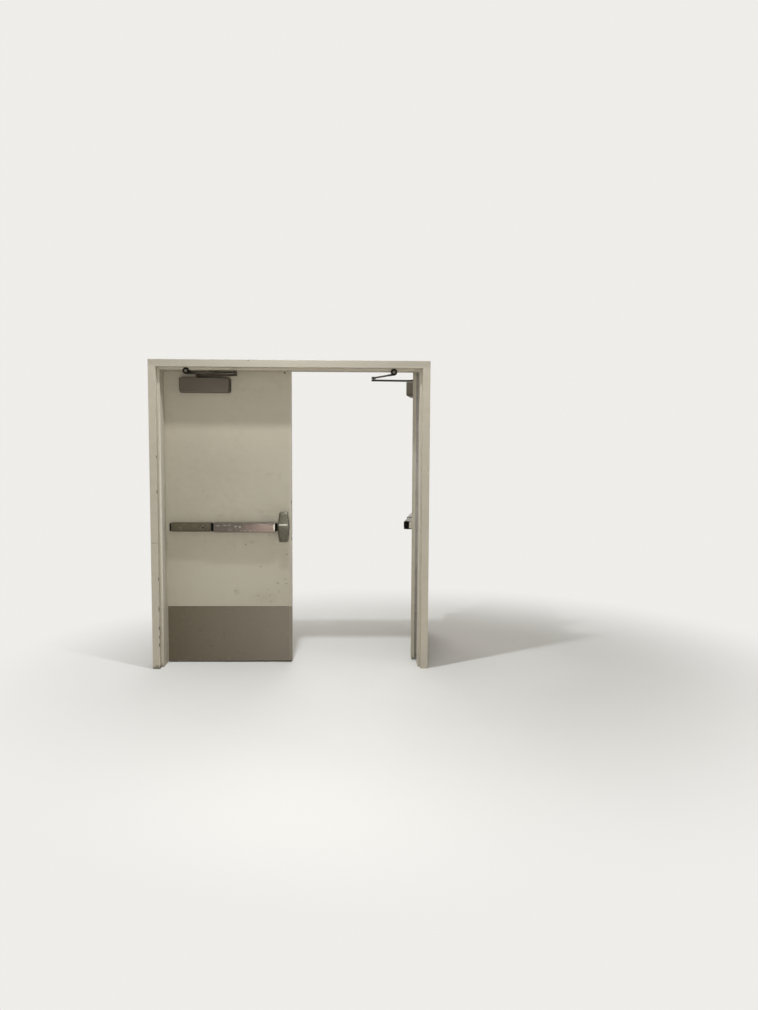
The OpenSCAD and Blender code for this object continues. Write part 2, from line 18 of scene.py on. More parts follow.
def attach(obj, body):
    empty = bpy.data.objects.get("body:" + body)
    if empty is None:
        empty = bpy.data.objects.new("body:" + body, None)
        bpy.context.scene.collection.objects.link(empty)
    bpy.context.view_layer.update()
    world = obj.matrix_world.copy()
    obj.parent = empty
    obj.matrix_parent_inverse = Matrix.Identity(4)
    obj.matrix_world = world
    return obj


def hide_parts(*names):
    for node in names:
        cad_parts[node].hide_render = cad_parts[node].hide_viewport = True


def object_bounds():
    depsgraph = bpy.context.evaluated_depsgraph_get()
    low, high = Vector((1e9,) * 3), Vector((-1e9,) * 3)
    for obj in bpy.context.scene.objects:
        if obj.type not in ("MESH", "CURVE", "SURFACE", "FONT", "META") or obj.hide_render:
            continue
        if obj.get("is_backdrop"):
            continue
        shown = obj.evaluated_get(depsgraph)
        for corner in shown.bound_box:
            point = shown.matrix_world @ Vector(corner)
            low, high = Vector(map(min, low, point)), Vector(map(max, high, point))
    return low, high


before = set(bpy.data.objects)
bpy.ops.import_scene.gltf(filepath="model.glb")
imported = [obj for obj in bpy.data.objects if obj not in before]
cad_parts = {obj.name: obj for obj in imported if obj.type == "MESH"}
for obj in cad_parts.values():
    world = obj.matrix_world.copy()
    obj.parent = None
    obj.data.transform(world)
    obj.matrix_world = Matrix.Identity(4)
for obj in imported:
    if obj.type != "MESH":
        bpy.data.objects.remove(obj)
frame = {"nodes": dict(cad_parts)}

CAD_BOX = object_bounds()
MM = 0.001
QUARTER = math.pi / 2
# Gap left behind a fitting, so that its back and the leaf don't share a plane
FIT = 0.2 * MM
# Edges sharper than this stay sharp
SMOOTH_BELOW = math.radians(32)
# How squarely a face looks along an axis to count as flat, and to count at all
FLAT = 0.99
ROUGHLY = 0.9
log = logging.getLogger("doorset")

Colour = tuple[float, float, float]
Point = tuple[float, float, float]
Rows = Sequence[tuple[float, ...]]
Test = Callable[[object], bool]


class Side(Enum):
    """Which of the two leaves a piece belongs to."""

    LEFT = "left"
    RIGHT = "right"


class Lay(Enum):
    """Whose coordinates a pattern follows."""

    FRAME = "frame"
    LEFT = "left"
    RIGHT = "right"


class Axis(Enum):
    """The three directions."""

    X = 0
    Y = 1
    Z = 2

    @property
    def way(self) -> Vector:
        """The unit vector along this axis."""
        return Vector([float(self is axis) for axis in Axis])


X, Y, Z = Axis


def mm(*values: float) -> tuple[float, ...]:
    """Returns values given in millimetres as metres."""
    return tuple(value * MM for value in values)


def turned(place: Point, angle: float, axis: Axis) -> Matrix:
    """Returns the matrix that turns a piece about an axis and takes it to a place."""
    return Matrix.Translation(place) @ Matrix.Rotation(angle, 4, axis.name)


@dataclass(frozen=True)
class Doorset:
    """Places that the leaves and the frame share."""

    left_axis: tuple[float, float] = (7.5 * MM, 117 * MM)
    right_axis: tuple[float, float] = (1827.5 * MM, 117 * MM)
    open_right: float = math.radians(99)
    push_v: float = -50 * MM
    pull_v: float = -6 * MM
    leaf_end: float = 906.5 * MM
    leaf_bottom: float = 12 * MM
    stop_z: float = 2087 * MM

    def opened(self, side: Side) -> float:
        """Returns the angle at which a leaf stands at rest."""
        return self.open_right if side is Side.RIGHT else 0.0

    def at_axis(self, side: Side) -> Matrix:
        """Places what is drawn round a hinge axis and stays with the frame.

        Args:
            side: The leaf that the axis belongs to.

        Returns:
            The matrix from axis coordinates to the frame's.
        """
        if side is Side.LEFT:
            return Matrix.Translation((*self.left_axis, 0))
        return Matrix.Translation((*self.right_axis, 0)) @ Matrix.Diagonal((-1, 1, 1, 1))

    def on_leaf(self, side: Side) -> Matrix:
        """Returns the matrix from leaf coordinates, which swing with a leaf, to the frame's."""
        return self.at_axis(side) @ Matrix.Rotation(self.opened(side), 4, "Z")


DOORSET = Doorset()


# Modelling bench


class Shape:
    """A mesh on the bench, shaped with Blender's own operators."""

    def __init__(self, obj: bpy.types.Object) -> None:
        """Takes over an object as the piece in hand."""
        self.obj = obj

    @classmethod
    def _started(cls, name: str) -> "Shape":
        """Takes over the primitive just added.

        Args:
            name: The piece's name.

        Returns:
            The piece, with its place in its mesh.
        """
        obj = bpy.context.object
        obj.name = obj.data.name = name
        bpy.ops.object.transform_apply(location=True, rotation=True, scale=True)
        return cls(obj)

    @classmethod
    def block(cls, name: str, low: Point, high: Point) -> "Shape":
        """Starts a piece from a block.

        Args:
            name: The piece's name.
            low: Its lowest corner.
            high: Its highest corner.

        Returns:
            The new piece.
        """
        size = [b - a for a, b in zip(low, high)]
        middle = [(a + b) / 2 for a, b in zip(low, high)]
        bpy.ops.mesh.primitive_cube_add(size=1, location=middle, scale=size)
        return cls._started(name)

    @classmethod
    def rod(cls, name: str, foot: Point, axis: Axis, length: float, radius: float, sides: int) -> "Shape":
        """Starts a piece from a round bar.

        Args:
            name: The piece's name.
            foot: The middle of its first end.
            axis: The way that it runs.
            length: Its length along that axis.
            radius: Its radius.
            sides: How many sides its circle has.

        Returns:
            The new piece.
        """
        middle = Vector(foot) + axis.way * length / 2
        turn = axis.way.to_track_quat("Z", "Y").to_euler()
        bpy.ops.mesh.primitive_cylinder_add(
            vertices=sides, radius=radius, depth=length, location=middle, rotation=turn
        )
        return cls._started(name)

    def _hold(self) -> None:
        """Makes this piece the only one selected, and the active one."""
        bpy.ops.object.select_all(action="DESELECT")
        self.obj.select_set(True)
        bpy.context.view_layer.objects.active = self.obj

    def _pick(self, kind: str, test: Test) -> bool:
        """Selects faces, edges or corners by their place, in edit mode.

        Args:
            kind: FACE, EDGE or VERT.
            test: Says of each one whether it is meant.

        Returns:
            Whether any was selected.
        """
        bpy.ops.mesh.select_mode(type=kind)
        bpy.ops.mesh.select_all(action="DESELECT")
        mesh = bmesh.from_edit_mesh(self.obj.data)
        items = {"FACE": mesh.faces, "EDGE": mesh.edges, "VERT": mesh.verts}[kind]
        meant = [item for item in items if test(item)]
        for item in meant:
            item.select_set(True)
        mesh.select_flush_mode()
        bmesh.update_edit_mesh(self.obj.data)
        return bool(meant)

    @contextmanager
    def _editing(self) -> Iterator[None]:
        """Opens the piece in edit mode and closes it again."""
        self._hold()
        bpy.ops.object.mode_set(mode="EDIT")
        try:
            yield
        finally:
            bpy.ops.object.mode_set(mode="OBJECT")

    def _work(self, kind: str, test: Test, tool: Callable[..., object], **settings: object) -> "Shape":
        """Uses a tool on what a test names.

        Args:
            kind: FACE, EDGE or VERT.
            test: Says of each one whether it is meant.
            tool: The edit-mode operator.
            settings: Its settings.

        Returns:
            The piece.
        """
        with self._editing():
            if self._pick(kind, test):
                tool(**settings)
        return self

    def bevel(self, test: Test, width: float, segments: int = 3) -> "Shape":
        """Rounds edges."""
        return self._work("EDGE", test, bpy.ops.mesh.bevel, offset=width, segments=segments, affect="EDGES")

    def resize(self, test: Test, scale: Point, centre: Point) -> "Shape":
        """Scales faces about a point."""
        return self._work("FACE", test, bpy.ops.transform.resize, value=scale, center_override=centre)

    def move(self, test: Test, step: Point) -> "Shape":
        """Moves corners."""
        return self._work("VERT", test, bpy.ops.transform.translate, value=step)

    def sink(self, test: Test, depth: float) -> "Shape":
        """Draws a band of faces inwards, square to each."""
        tool, inwards = bpy.ops.mesh.extrude_region_shrink_fatten, {"value": -depth}
        return self._work("FACE", test, tool, TRANSFORM_OT_shrink_fatten=inwards)

    def inset(self, test: Test, width: float, step: Point) -> "Shape":
        """Draws a margin inside faces and moves what is inside it.

        Args:
            test: Says which faces are meant.
            width: The margin's width.
            step: Where the inner faces go.

        Returns:
            The piece.
        """

        def tool() -> None:
            """Draws the margin, then the recess or raised field."""
            bpy.ops.mesh.inset(thickness=width, depth=0)
            bpy.ops.mesh.extrude_region_move(TRANSFORM_OT_translate={"value": step})

        return self._work("FACE", test, tool)

    def cut(self, axis: Axis, *values: float) -> "Shape":
        """Cuts lines of edges all round.

        Args:
            axis: The axis that the lines lie across.
            values: Where on it each line lies.

        Returns:
            The piece.
        """
        for value in values:
            self._work(
                "FACE", lambda face: True, bpy.ops.mesh.bisect, plane_co=axis.way * value, plane_no=axis.way
            )
        return self

    def carve(self, cutter: "Shape") -> "Shape":
        """Takes another piece's shape out of this one and deletes that piece.

        Args:
            cutter: The other piece.

        Returns:
            This piece.
        """
        self._hold()
        bpy.ops.object.modifier_add(type="BOOLEAN")
        tool = self.obj.modifiers[-1]
        tool.operation, tool.solver, tool.object = "DIFFERENCE", "EXACT", cutter.obj
        bpy.ops.object.modifier_apply(modifier=tool.name)
        bpy.data.objects.remove(cutter.obj)
        return self

    def join(self, *others: "Shape") -> "Shape":
        """Makes this piece and others one object.

        Args:
            others: The pieces that it takes up.

        Returns:
            This piece.
        """
        self._hold()
        for other in others:
            other.obj.select_set(True)
        bpy.ops.object.join()
        return self

    def copy(self, name: str) -> "Shape":
        """Makes a second piece with a mesh of its own.

        Args:
            name: Its name.

        Returns:
            The new piece.
        """
        twin = self.obj.copy()
        twin.data = self.obj.data.copy()
        twin.name = twin.data.name = name
        bpy.context.scene.collection.objects.link(twin)
        return Shape(twin)

    def place(self, matrix: Matrix) -> "Shape":
        """Moves the mesh itself to where it belongs, right way out.

        Args:
            matrix: The move, which may mirror.

        Returns:
            The piece.
        """
        self.obj.data.transform(matrix)
        if matrix.determinant() < 0:
            self.obj.data.flip_normals()
        self.obj.data.update()
        return self

    def finish(self, body: str, finish: "Finish", lay: Lay, *stands_for: str) -> None:
        """Smooths the piece, gives it its finish and hangs it on a body.

        Args:
            body: The body that carries it.
            finish: Its finish.
            lay: Whose coordinates the finish follows.
            stands_for: CAD nodes that it takes the place of.
        """
        self._hold()
        bpy.ops.object.shade_smooth_by_angle(angle=SMOOTH_BELOW)
        self.obj.data.materials.clear()
        self.obj.data.materials.append(finish.make(lay))
        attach(self.obj, body)
        if stands_for:
            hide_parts(*stands_for)
        log.info("%s rides on %s", self.obj.name, body)


def facing(axis: Axis, sign: int = 1, least: float = ROUGHLY) -> Test:
    """Returns a test for faces that look up or down an axis."""
    return lambda face: face.normal[axis.value] * sign > least


def running(axis: Axis, where: Optional[Test] = None) -> Test:
    """Makes a test for edges that run along an axis.

    Args:
        axis: The axis.
        where: A further test on an edge's middle.

    Returns:
        The test.
    """

    def test(edge: bmesh.types.BMEdge) -> bool:
        """Says whether an edge runs that way."""
        a, b = (corner.co for corner in edge.verts)
        straight = abs((b - a).normalized()[axis.value]) > 0.999
        return straight and (where is None or where((a + b) / 2))

    return test


def rim(axis: Axis, value: float, slack: float = 0.01 * MM) -> Test:
    """Returns a test for edges that lie in a plane across an axis."""
    return lambda edge: all(abs(corner.co[axis.value] - value) < slack for corner in edge.verts)


def span(edge: bmesh.types.BMEdge, axis: Axis) -> float:
    """Returns how far an edge reaches along an axis."""
    return abs((edge.verts[0].co - edge.verts[1].co)[axis.value])


# Finishes


class Graph:
    """A node tree and the few steps that fill it."""

    def __init__(self, tree: bpy.types.NodeTree) -> None:
        """Takes an empty tree."""
        self.tree = tree

    def add(self, kind: str, settings: Optional[dict] = None, **inputs: object) -> bpy.types.Node:
        """Adds a node.

        Args:
            kind: Its type, without the word ShaderNode.
            settings: Properties of the node itself.
            inputs: Values or sockets for its inputs, with _ for each space.

        Returns:
            The node.
        """
        node = self.tree.nodes.new(kind if kind.startswith("NodeGroup") else "ShaderNode" + kind)
        for key, value in (settings or {}).items():
            setattr(node, key, value)
        for key, value in inputs.items():
            self.feed(node.inputs[key.replace("_", " ")], value)
        return node

    def feed(self, socket: bpy.types.NodeSocket, value: object) -> None:
        """Links a socket to another, or sets its value.

        Args:
            socket: The socket that is fed.
            value: A socket, a number, a colour or a vector.
        """
        if isinstance(value, bpy.types.NodeSocket):
            self.tree.links.new(value, socket)
        elif isinstance(value, tuple) and len(value) == 3 and socket.type == "RGBA":
            socket.default_value = (*value, 1)
        else:
            socket.default_value = value

    def math(self, operation: str, a: object, b: object = 0.0, clamp: bool = False) -> bpy.types.NodeSocket:
        """Adds one sum on two values.

        Args:
            operation: The sum, by Blender's name.
            a: The first value.
            b: The second value.
            clamp: Whether the result is kept between 0 and 1.

        Returns:
            The result.
        """
        node = self.add("Math", {"operation": operation, "use_clamp": clamp})
        self.feed(node.inputs[0], a)
        self.feed(node.inputs[1], b)
        return node.outputs[0]

    def vector(self, operation: str, a: object, b: object = (0, 0, 0)) -> bpy.types.NodeSocket:
        """Adds one sum on two vectors.

        Args:
            operation: The sum, by Blender's name.
            a: The first vector.
            b: The second vector.

        Returns:
            The result, a number where the sum gives one.
        """
        node = self.add("VectorMath", {"operation": operation})
        self.feed(node.inputs[0], a)
        self.feed(node.inputs[1], b)
        return node.outputs["Value" if operation in ("DOT_PRODUCT", "LENGTH", "DISTANCE") else "Vector"]

    def ramp(
        self, value: object, low: float, high: float, first: float = 0.0, last: float = 1.0
    ) -> bpy.types.NodeSocket:
        """Spreads a value smoothly from one range to another.

        Args:
            value: The socket that is read.
            low: Where the range begins.
            high: Where it ends.
            first: What its beginning becomes.
            last: What its end becomes.

        Returns:
            The new value.
        """
        node = self.add("MapRange", {"interpolation_type": "SMOOTHSTEP"})
        names = ("Value", "From Min", "From Max", "To Min", "To Max")
        for name, item in zip(names, (value, low, high, first, last)):
            self.feed(node.inputs[name], item)
        return node.outputs["Result"]

    def noise(
        self, vector: object, scale: object, detail: float = 3.0, rough: float = 0.55, warp: float = 0.0
    ) -> bpy.types.NodeSocket:
        """Returns cloudy noise between 0 and 1."""
        node = self.add(
            "TexNoise", Vector=vector, Scale=scale, Detail=detail, Roughness=rough, Distortion=warp
        )
        return node.outputs["Fac"]

    def mix(self, mask: object, a: object, b: object) -> bpy.types.NodeSocket:
        """Lays one colour over another.

        Args:
            mask: Where the upper colour shows.
            a: The lower colour.
            b: The upper colour.

        Returns:
            The mixed colour.
        """
        node = self.add("Mix", {"data_type": "RGBA"})
        for index, value in ((0, mask), (6, a), (7, b)):
            self.feed(node.inputs[index], value)
        return node.outputs[2]

    def blend(self, mask: object, a: object, b: object) -> bpy.types.NodeSocket:
        """Mixes two shaders.

        Args:
            mask: Where the second one shows.
            a: The first shader.
            b: The second shader.

        Returns:
            The mixed shader.
        """
        node = self.add("MixShader")
        for socket, value in zip(node.inputs, (mask, a, b)):
            self.feed(socket, value)
        return node.outputs[0]


@dataclass(frozen=True)
class Socket:
    """One named input or output of a shared group."""

    name: str
    value: object = None
    kind: str = "NodeSocketFloat"


def place_socket(name: str = "Vector", value: Optional[Point] = None) -> Socket:
    """Returns an input that takes a place or a size."""
    return Socket(name, value, "NodeSocketVector")


class SharedGroup:
    """An effect that several finishes use, built once as a node group."""

    name = "shared"
    inputs: tuple[Socket, ...] = ()
    outputs: tuple[Socket, ...] = (Socket("Mask"),)

    def tree(self) -> bpy.types.NodeTree:
        """Builds the group's tree on its first use.

        Returns:
            The tree.
        """
        known = bpy.data.node_groups.get(self.name)
        if known is not None:
            return known
        tree = bpy.data.node_groups.new(self.name, "ShaderNodeTree")
        for way, sockets in (("INPUT", self.inputs), ("OUTPUT", self.outputs)):
            for item in sockets:
                made = tree.interface.new_socket(name=item.name, in_out=way, socket_type=item.kind)
                if item.value is not None:
                    made.default_value = item.value
        graph = Graph(tree)
        source = graph.add("NodeGroupInput").outputs
        sink = graph.add("NodeGroupOutput").inputs
        for name, value in self.fill(graph, source).items():
            graph.feed(sink[name], value)
        return tree

    def fill(self, graph: Graph, source: object) -> dict[str, bpy.types.NodeSocket]:
        """Builds the group's inside.

        Args:
            graph: The group's tree.
            source: The group's own inputs.

        Returns:
            The socket for each output.
        """
        raise NotImplementedError

    def use(self, graph: Graph, **values: object) -> bpy.types.Node:
        """Places the group in a finish with that finish's values."""
        return graph.add("Group", {"node_tree": self.tree()}, **values)

    def mask(self, graph: Graph, **values: object) -> bpy.types.NodeSocket:
        """Places the group in a finish and returns its mask."""
        return self.use(graph, **values).outputs["Mask"]


class EdgeWear(SharedGroup):
    """Rubbed and chipped edges, broken up by noise."""

    name = "edge wear"
    inputs = (place_socket(), Socket("Width", 2.0 * MM), Socket("Amount", 0.5), Socket("Scale", 60.0))

    def fill(self, graph: Graph, source: object) -> dict[str, bpy.types.NodeSocket]:
        """Compares the softened normal with the true one."""
        soft = graph.add("Bevel", {"samples": 6}, Radius=source["Width"]).outputs["Normal"]
        same = graph.vector("DOT_PRODUCT", soft, graph.add("NewGeometry").outputs["True Normal"])
        near = graph.math("MULTIPLY", graph.math("SUBTRACT", 1.0, same), 7.0, clamp=True)
        patchy = graph.noise(source["Vector"], source["Scale"], 4.0, 0.65)
        total = graph.math("ADD", graph.math("MULTIPLY", near, 0.55), graph.math("MULTIPLY", patchy, 0.9))
        over = graph.math("SUBTRACT", total, graph.math("SUBTRACT", 1.25, source["Amount"]))
        return {"Mask": graph.math("MULTIPLY", graph.math("MULTIPLY", over, 7.0, clamp=True), near)}


class Grime(SharedGroup):
    """Uneven dirt, thicker towards the floor."""

    name = "grime"
    inputs = (place_socket(), Socket("Scale", 3.0), Socket("Amount", 0.5), Socket("Foot", 0.25))

    def fill(self, graph: Graph, source: object) -> dict[str, bpy.types.NodeSocket]:
        """Adds a large cloud, a small one and a band at the foot."""
        big = graph.ramp(graph.noise(source["Vector"], source["Scale"], 5.0, 0.6, 0.4), 0.42, 0.72)
        small = graph.noise(source["Vector"], graph.math("MULTIPLY", source["Scale"], 9.0), 4.0, 0.6)
        height = graph.add("SeparateXYZ", Vector=source["Vector"]).outputs["Z"]
        low = graph.math("SUBTRACT", 1.0, graph.math("DIVIDE", height, source["Foot"]), clamp=True)
        band = graph.math("MULTIPLY", graph.math("POWER", low, 1.6), graph.ramp(small, 0.3, 0.7))
        total = graph.math("ADD", graph.math("MULTIPLY", big, graph.ramp(small, 0.3, 0.75)), band)
        return {"Mask": graph.math("MULTIPLY", total, source["Amount"], clamp=True)}


class Scuffs(SharedGroup):
    """Short thin scratches along one way, in patches."""

    name = "scuffs"
    inputs = (
        place_socket(), place_socket("Length", (1.0, 1.0, 14.0)),
        Socket("Scale", 26.0), Socket("Amount", 0.5),
    )

    def fill(self, graph: Graph, source: object) -> dict[str, bpy.types.NodeSocket]:
        """Keeps the thin line where stretched noise passes its middle."""
        long = graph.vector("DIVIDE", source["Vector"], source["Length"])
        waves = graph.noise(long, graph.math("MULTIPLY", source["Scale"], 4.0), 2.0, 0.5, 0.6)
        line = graph.ramp(graph.math("ABSOLUTE", graph.math("SUBTRACT", waves, 0.5)), 0.0, 0.012, 1.0, 0.0)
        patch = graph.ramp(graph.noise(source["Vector"], source["Scale"], 3.0, 0.6), 0.5, 0.62)
        shown = graph.math("MULTIPLY", line, patch)
        return {"Mask": graph.math("MULTIPLY", shown, source["Amount"], clamp=True)}


class Spot(SharedGroup):
    """One ragged spot at a named place."""

    name = "spot"
    inputs = (
        place_socket(), place_socket("Centre", (0.0, 0.0, 0.0)), place_socket("Size", (0.01, 0.01, 0.01)),
        Socket("Ragged", 0.6), Socket("Scale", 90.0), Socket("Soft", 0.2),
    )

    def fill(self, graph: Graph, source: object) -> dict[str, bpy.types.NodeSocket]:
        """Measures the distance from the place and frays it with noise."""
        away = graph.vector("SUBTRACT", source["Vector"], source["Centre"])
        length = graph.vector("LENGTH", graph.vector("DIVIDE", away, source["Size"]))
        fray = graph.math("SUBTRACT", graph.noise(source["Vector"], source["Scale"], 4.0, 0.65), 0.5)
        distance = graph.math("ADD", length, graph.math("MULTIPLY", fray, source["Ragged"]))
        inside = graph.math("SUBTRACT", 1.0, distance)
        return {"Mask": graph.math("DIVIDE", inside, source["Soft"], clamp=True)}


class Grain(SharedGroup):
    """Fine lines left by brushing, as a height and as a tint."""

    name = "brushed grain"
    inputs = (place_socket(), place_socket("Length", (60.0, 1.0, 1.0)), Socket("Scale", 900.0))
    outputs = (Socket("Height"), Socket("Tint"))

    def fill(self, graph: Graph, source: object) -> dict[str, bpy.types.NodeSocket]:
        """Reads noise that is stretched along the lines."""
        long = graph.vector("DIVIDE", source["Vector"], source["Length"])
        fine = graph.noise(long, source["Scale"], 3.0, 0.7)
        broad = graph.noise(long, graph.math("MULTIPLY", source["Scale"], 0.16), 3.0, 0.6)
        tint = graph.math("ADD", graph.math("MULTIPLY", fine, 0.4), graph.math("MULTIPLY", broad, 0.6))
        return {"Height": fine, "Tint": tint}


@dataclass(frozen=True)
class Mark:
    """A single spot of wear, dirt, painted light or painted shade, in the coordinates that its finish follows.
    """

    centre: Point
    size: Point
    colour: Colour
    strength: float = 1.0
    ragged: float = 0.7
    scale: float = 90.0
    soft: float = 0.2


def marks(
    rows: Rows, v: float, depth: float, colour: Colour, ragged: float, scale: float, soft: float
) -> tuple[Mark, ...]:
    """Makes marks of one kind, which lie on one face.

    Args:
        rows: The u, z, width, height and strength of each, in millimetres but for the strength.
        v: Where the face lies, in millimetres.
        depth: How deep the marks reach, in millimetres.
        colour: Their colour.
        ragged: How frayed they are.
        scale: The scale of their fraying.
        soft: How soft their edges are.

    Returns:
        The marks.
    """
    return tuple(
        Mark(mm(u, v, z), mm(wide, depth, high), colour, strength, ragged, scale, soft)
        for u, z, wide, high, strength in rows
    )


@dataclass(frozen=True)
class Finish:
    """What all finishes share: a name, a lay, marks and the way they come together."""

    name: str
    colour: Colour
    roughness: float = 0.5
    marks: tuple[Mark, ...] = ()
    slot_name: str = ""

    @property
    def slot(self) -> str:
        """The slot's name for this finish."""
        return self.slot_name or self.name

    def make(self, lay: Lay) -> bpy.types.Material:
        """Makes the material for one lay, on its first use.

        Args:
            lay: Whose coordinates its patterns follow.

        Returns:
            The material.
        """
        name = f"{self.name}_{lay.value}"
        known = bpy.data.materials.get(name)
        if known is not None:
            return known
        material = bpy.data.materials.new(name)
        material.use_nodes = True
        material.node_tree.nodes.clear()
        graph = Graph(material.node_tree)
        shader = graph.add("BsdfPrincipled")
        self.fill(graph, shader, self.coordinates(graph, lay))
        graph.feed(graph.add("OutputMaterial").inputs["Surface"], shader.outputs["BSDF"])
        material.diffuse_color = (*self.colour, 1)
        return material

    def coordinates(self, graph: Graph, lay: Lay) -> bpy.types.NodeSocket:
        """Reads Object coordinates, turned to the leaf where the lay says so.

        Args:
            graph: The material's tree.
            lay: Whose coordinates are meant.

        Returns:
            The coordinates.
        """
        vector = graph.add("TexCoord").outputs["Object"]
        if lay is Lay.FRAME:
            return vector
        axis = DOORSET.left_axis if lay is Lay.LEFT else DOORSET.right_axis
        turn = 0.0 if lay is Lay.LEFT else math.pi - DOORSET.open_right
        placed = {"Location": (*axis, 0), "Rotation": (0, 0, turn)}
        return graph.add("Mapping", {"vector_type": "TEXTURE"}, Vector=vector, **placed).outputs[0]

    def marked(self, graph: Graph, colour: object, vector: object) -> bpy.types.NodeSocket:
        """Lays this finish's marks over a colour.

        Args:
            graph: The material's tree.
            colour: The colour under the marks.
            vector: The coordinates that the marks follow.

        Returns:
            The marked colour.
        """
        for mark in self.marks:
            mask = Spot().mask(
                graph, Vector=vector, Centre=mark.centre, Size=mark.size,
                Ragged=mark.ragged, Scale=mark.scale, Soft=mark.soft,
            )
            colour = graph.mix(graph.math("MULTIPLY", mask, mark.strength), colour, mark.colour)
        return colour

    def surface(
        self, graph: Graph, shader: bpy.types.Node, colour: object, rough: object, height: object,
        depth: float, strength: float,
    ) -> None:
        """Feeds the shader what changes over the surface.

        Args:
            graph: The material's tree.
            shader: The shader.
            colour: Its colour.
            rough: Its roughness.
            height: The height of its bumps.
            depth: How far that height reaches.
            strength: How strongly it shows.
        """
        bump = graph.add("Bump", Height=height, Distance=depth, Strength=strength)
        sockets = {"Base Color": colour, "Roughness": rough, "Normal": bump.outputs["Normal"]}
        for name, value in sockets.items():
            graph.feed(shader.inputs[name], value)

    def fill(self, graph: Graph, shader: bpy.types.Node, vector: object) -> None:
        """Sets the shader's inputs.

        Args:
            graph: The material's tree.
            shader: The shader.
            vector: The coordinates that its patterns follow.
        """
        raise NotImplementedError


def tinted(colour: Colour, factor: float, warm: float = 0.0) -> Colour:
    """Returns a colour made lighter or darker, and warmer or cooler."""
    r, g, b = (min(1.0, c * factor) for c in colour)
    return (min(1.0, r * (1 + warm)), g, b * (1 - warm))


@dataclass(frozen=True)
class Paint(Finish):
    """Rolled or sprayed paint on steel, with chips that show what is under it."""

    under: Colour = (0.12, 0.11, 0.10)
    dirt: Colour = (0.20, 0.18, 0.14)
    peel: float = 0.12
    peel_scale: float = 420.0
    wear: float = 0.5
    wear_width: float = 2.5 * MM
    grime: float = 0.4
    foot: float = 0.3
    scuffs: float = 0.2
    scuff_colour: Colour = (0.2, 0.19, 0.17)
    shine: float = 0.4

    def fill(self, graph: Graph, shader: bpy.types.Node, vector: object) -> None:
        """Lays cloud, dirt, scuffs, marks and chips over the paint."""
        cloud = graph.ramp(graph.noise(vector, 1.3, 4.0, 0.6), 0.3, 0.7)
        colour = graph.mix(cloud, tinted(self.colour, 0.96), tinted(self.colour, 1.05, 0.01))
        dirt = Grime().mask(graph, Vector=vector, Scale=2.6, Amount=self.grime, Foot=self.foot)
        colour = graph.mix(dirt, colour, self.dirt)
        lines = Scuffs().mask(graph, Vector=vector, Amount=self.scuffs)
        colour = self.marked(graph, graph.mix(lines, colour, self.scuff_colour), vector)
        chips = EdgeWear().mask(graph, Vector=vector, Width=self.wear_width, Amount=self.wear, Scale=70.0)
        colour = graph.mix(chips, colour, self.under)
        matt = graph.noise(vector, 40.0, 3.0)
        rough = graph.ramp(matt, 0.3, 0.7, self.roughness - 0.05, self.roughness + 0.06)
        rough = graph.math("ADD", rough, graph.math("MULTIPLY", dirt, 0.25), clamp=True)
        skin = graph.math("MULTIPLY", graph.noise(vector, self.peel_scale, 2.0, 0.5), self.peel)
        height = graph.math("SUBTRACT", skin, graph.math("MULTIPLY", chips, 0.5))
        self.surface(graph, shader, colour, rough, height, 0.3 * MM, 0.5)
        shader.inputs["Specular IOR Level"].default_value = self.shine


@dataclass(frozen=True)
class Metal(Finish):
    """Brushed or plated metal that hands and trolleys have rubbed."""

    bright: Colour = (0.55, 0.52, 0.48)
    dirt: Colour = (0.06, 0.05, 0.04)
    metallic: float = 0.85
    grain_way: Point = (60.0, 1.0, 1.0)
    grain: float = 0.35
    wear: float = 0.5
    wear_width: float = 1.6 * MM
    smudge: float = 0.4
    scuffs: float = 0.4
    scuff_way: Point = (12.0, 1.0, 2.0)

    def fill(self, graph: Graph, shader: bpy.types.Node, vector: object) -> None:
        """Lays grain, smudges, scratches, marks and bright edges over the metal."""
        grain = Grain().use(graph, Vector=vector, Length=self.grain_way).outputs
        spread = 0.3 * self.grain
        tint = graph.ramp(grain["Tint"], 0.35, 0.65)
        colour = graph.mix(tint, tinted(self.colour, 1 - spread), tinted(self.colour, 1 + spread))
        dirt = Grime().mask(graph, Vector=vector, Scale=7.0, Amount=self.smudge, Foot=0.05)
        colour = self.marked(graph, graph.mix(dirt, colour, self.dirt), vector)
        lines = Scuffs().mask(graph, Vector=vector, Length=self.scuff_way, Scale=30.0, Amount=self.scuffs)
        colour = graph.mix(lines, colour, self.bright)
        edge = EdgeWear().mask(graph, Vector=vector, Width=self.wear_width, Amount=self.wear, Scale=120.0)
        colour = graph.mix(edge, colour, self.bright)
        rough = graph.ramp(grain["Tint"], 0.3, 0.7, self.roughness - 0.06, self.roughness + 0.08)
        rough = graph.math("ADD", rough, graph.math("MULTIPLY", dirt, 0.3))
        rough = graph.math("SUBTRACT", rough, graph.math("MULTIPLY", edge, 0.12), clamp=True)
        self.surface(graph, shader, colour, rough, grain["Height"], 0.1 * MM, 0.25)
        shader.inputs["Metallic"].default_value = self.metallic


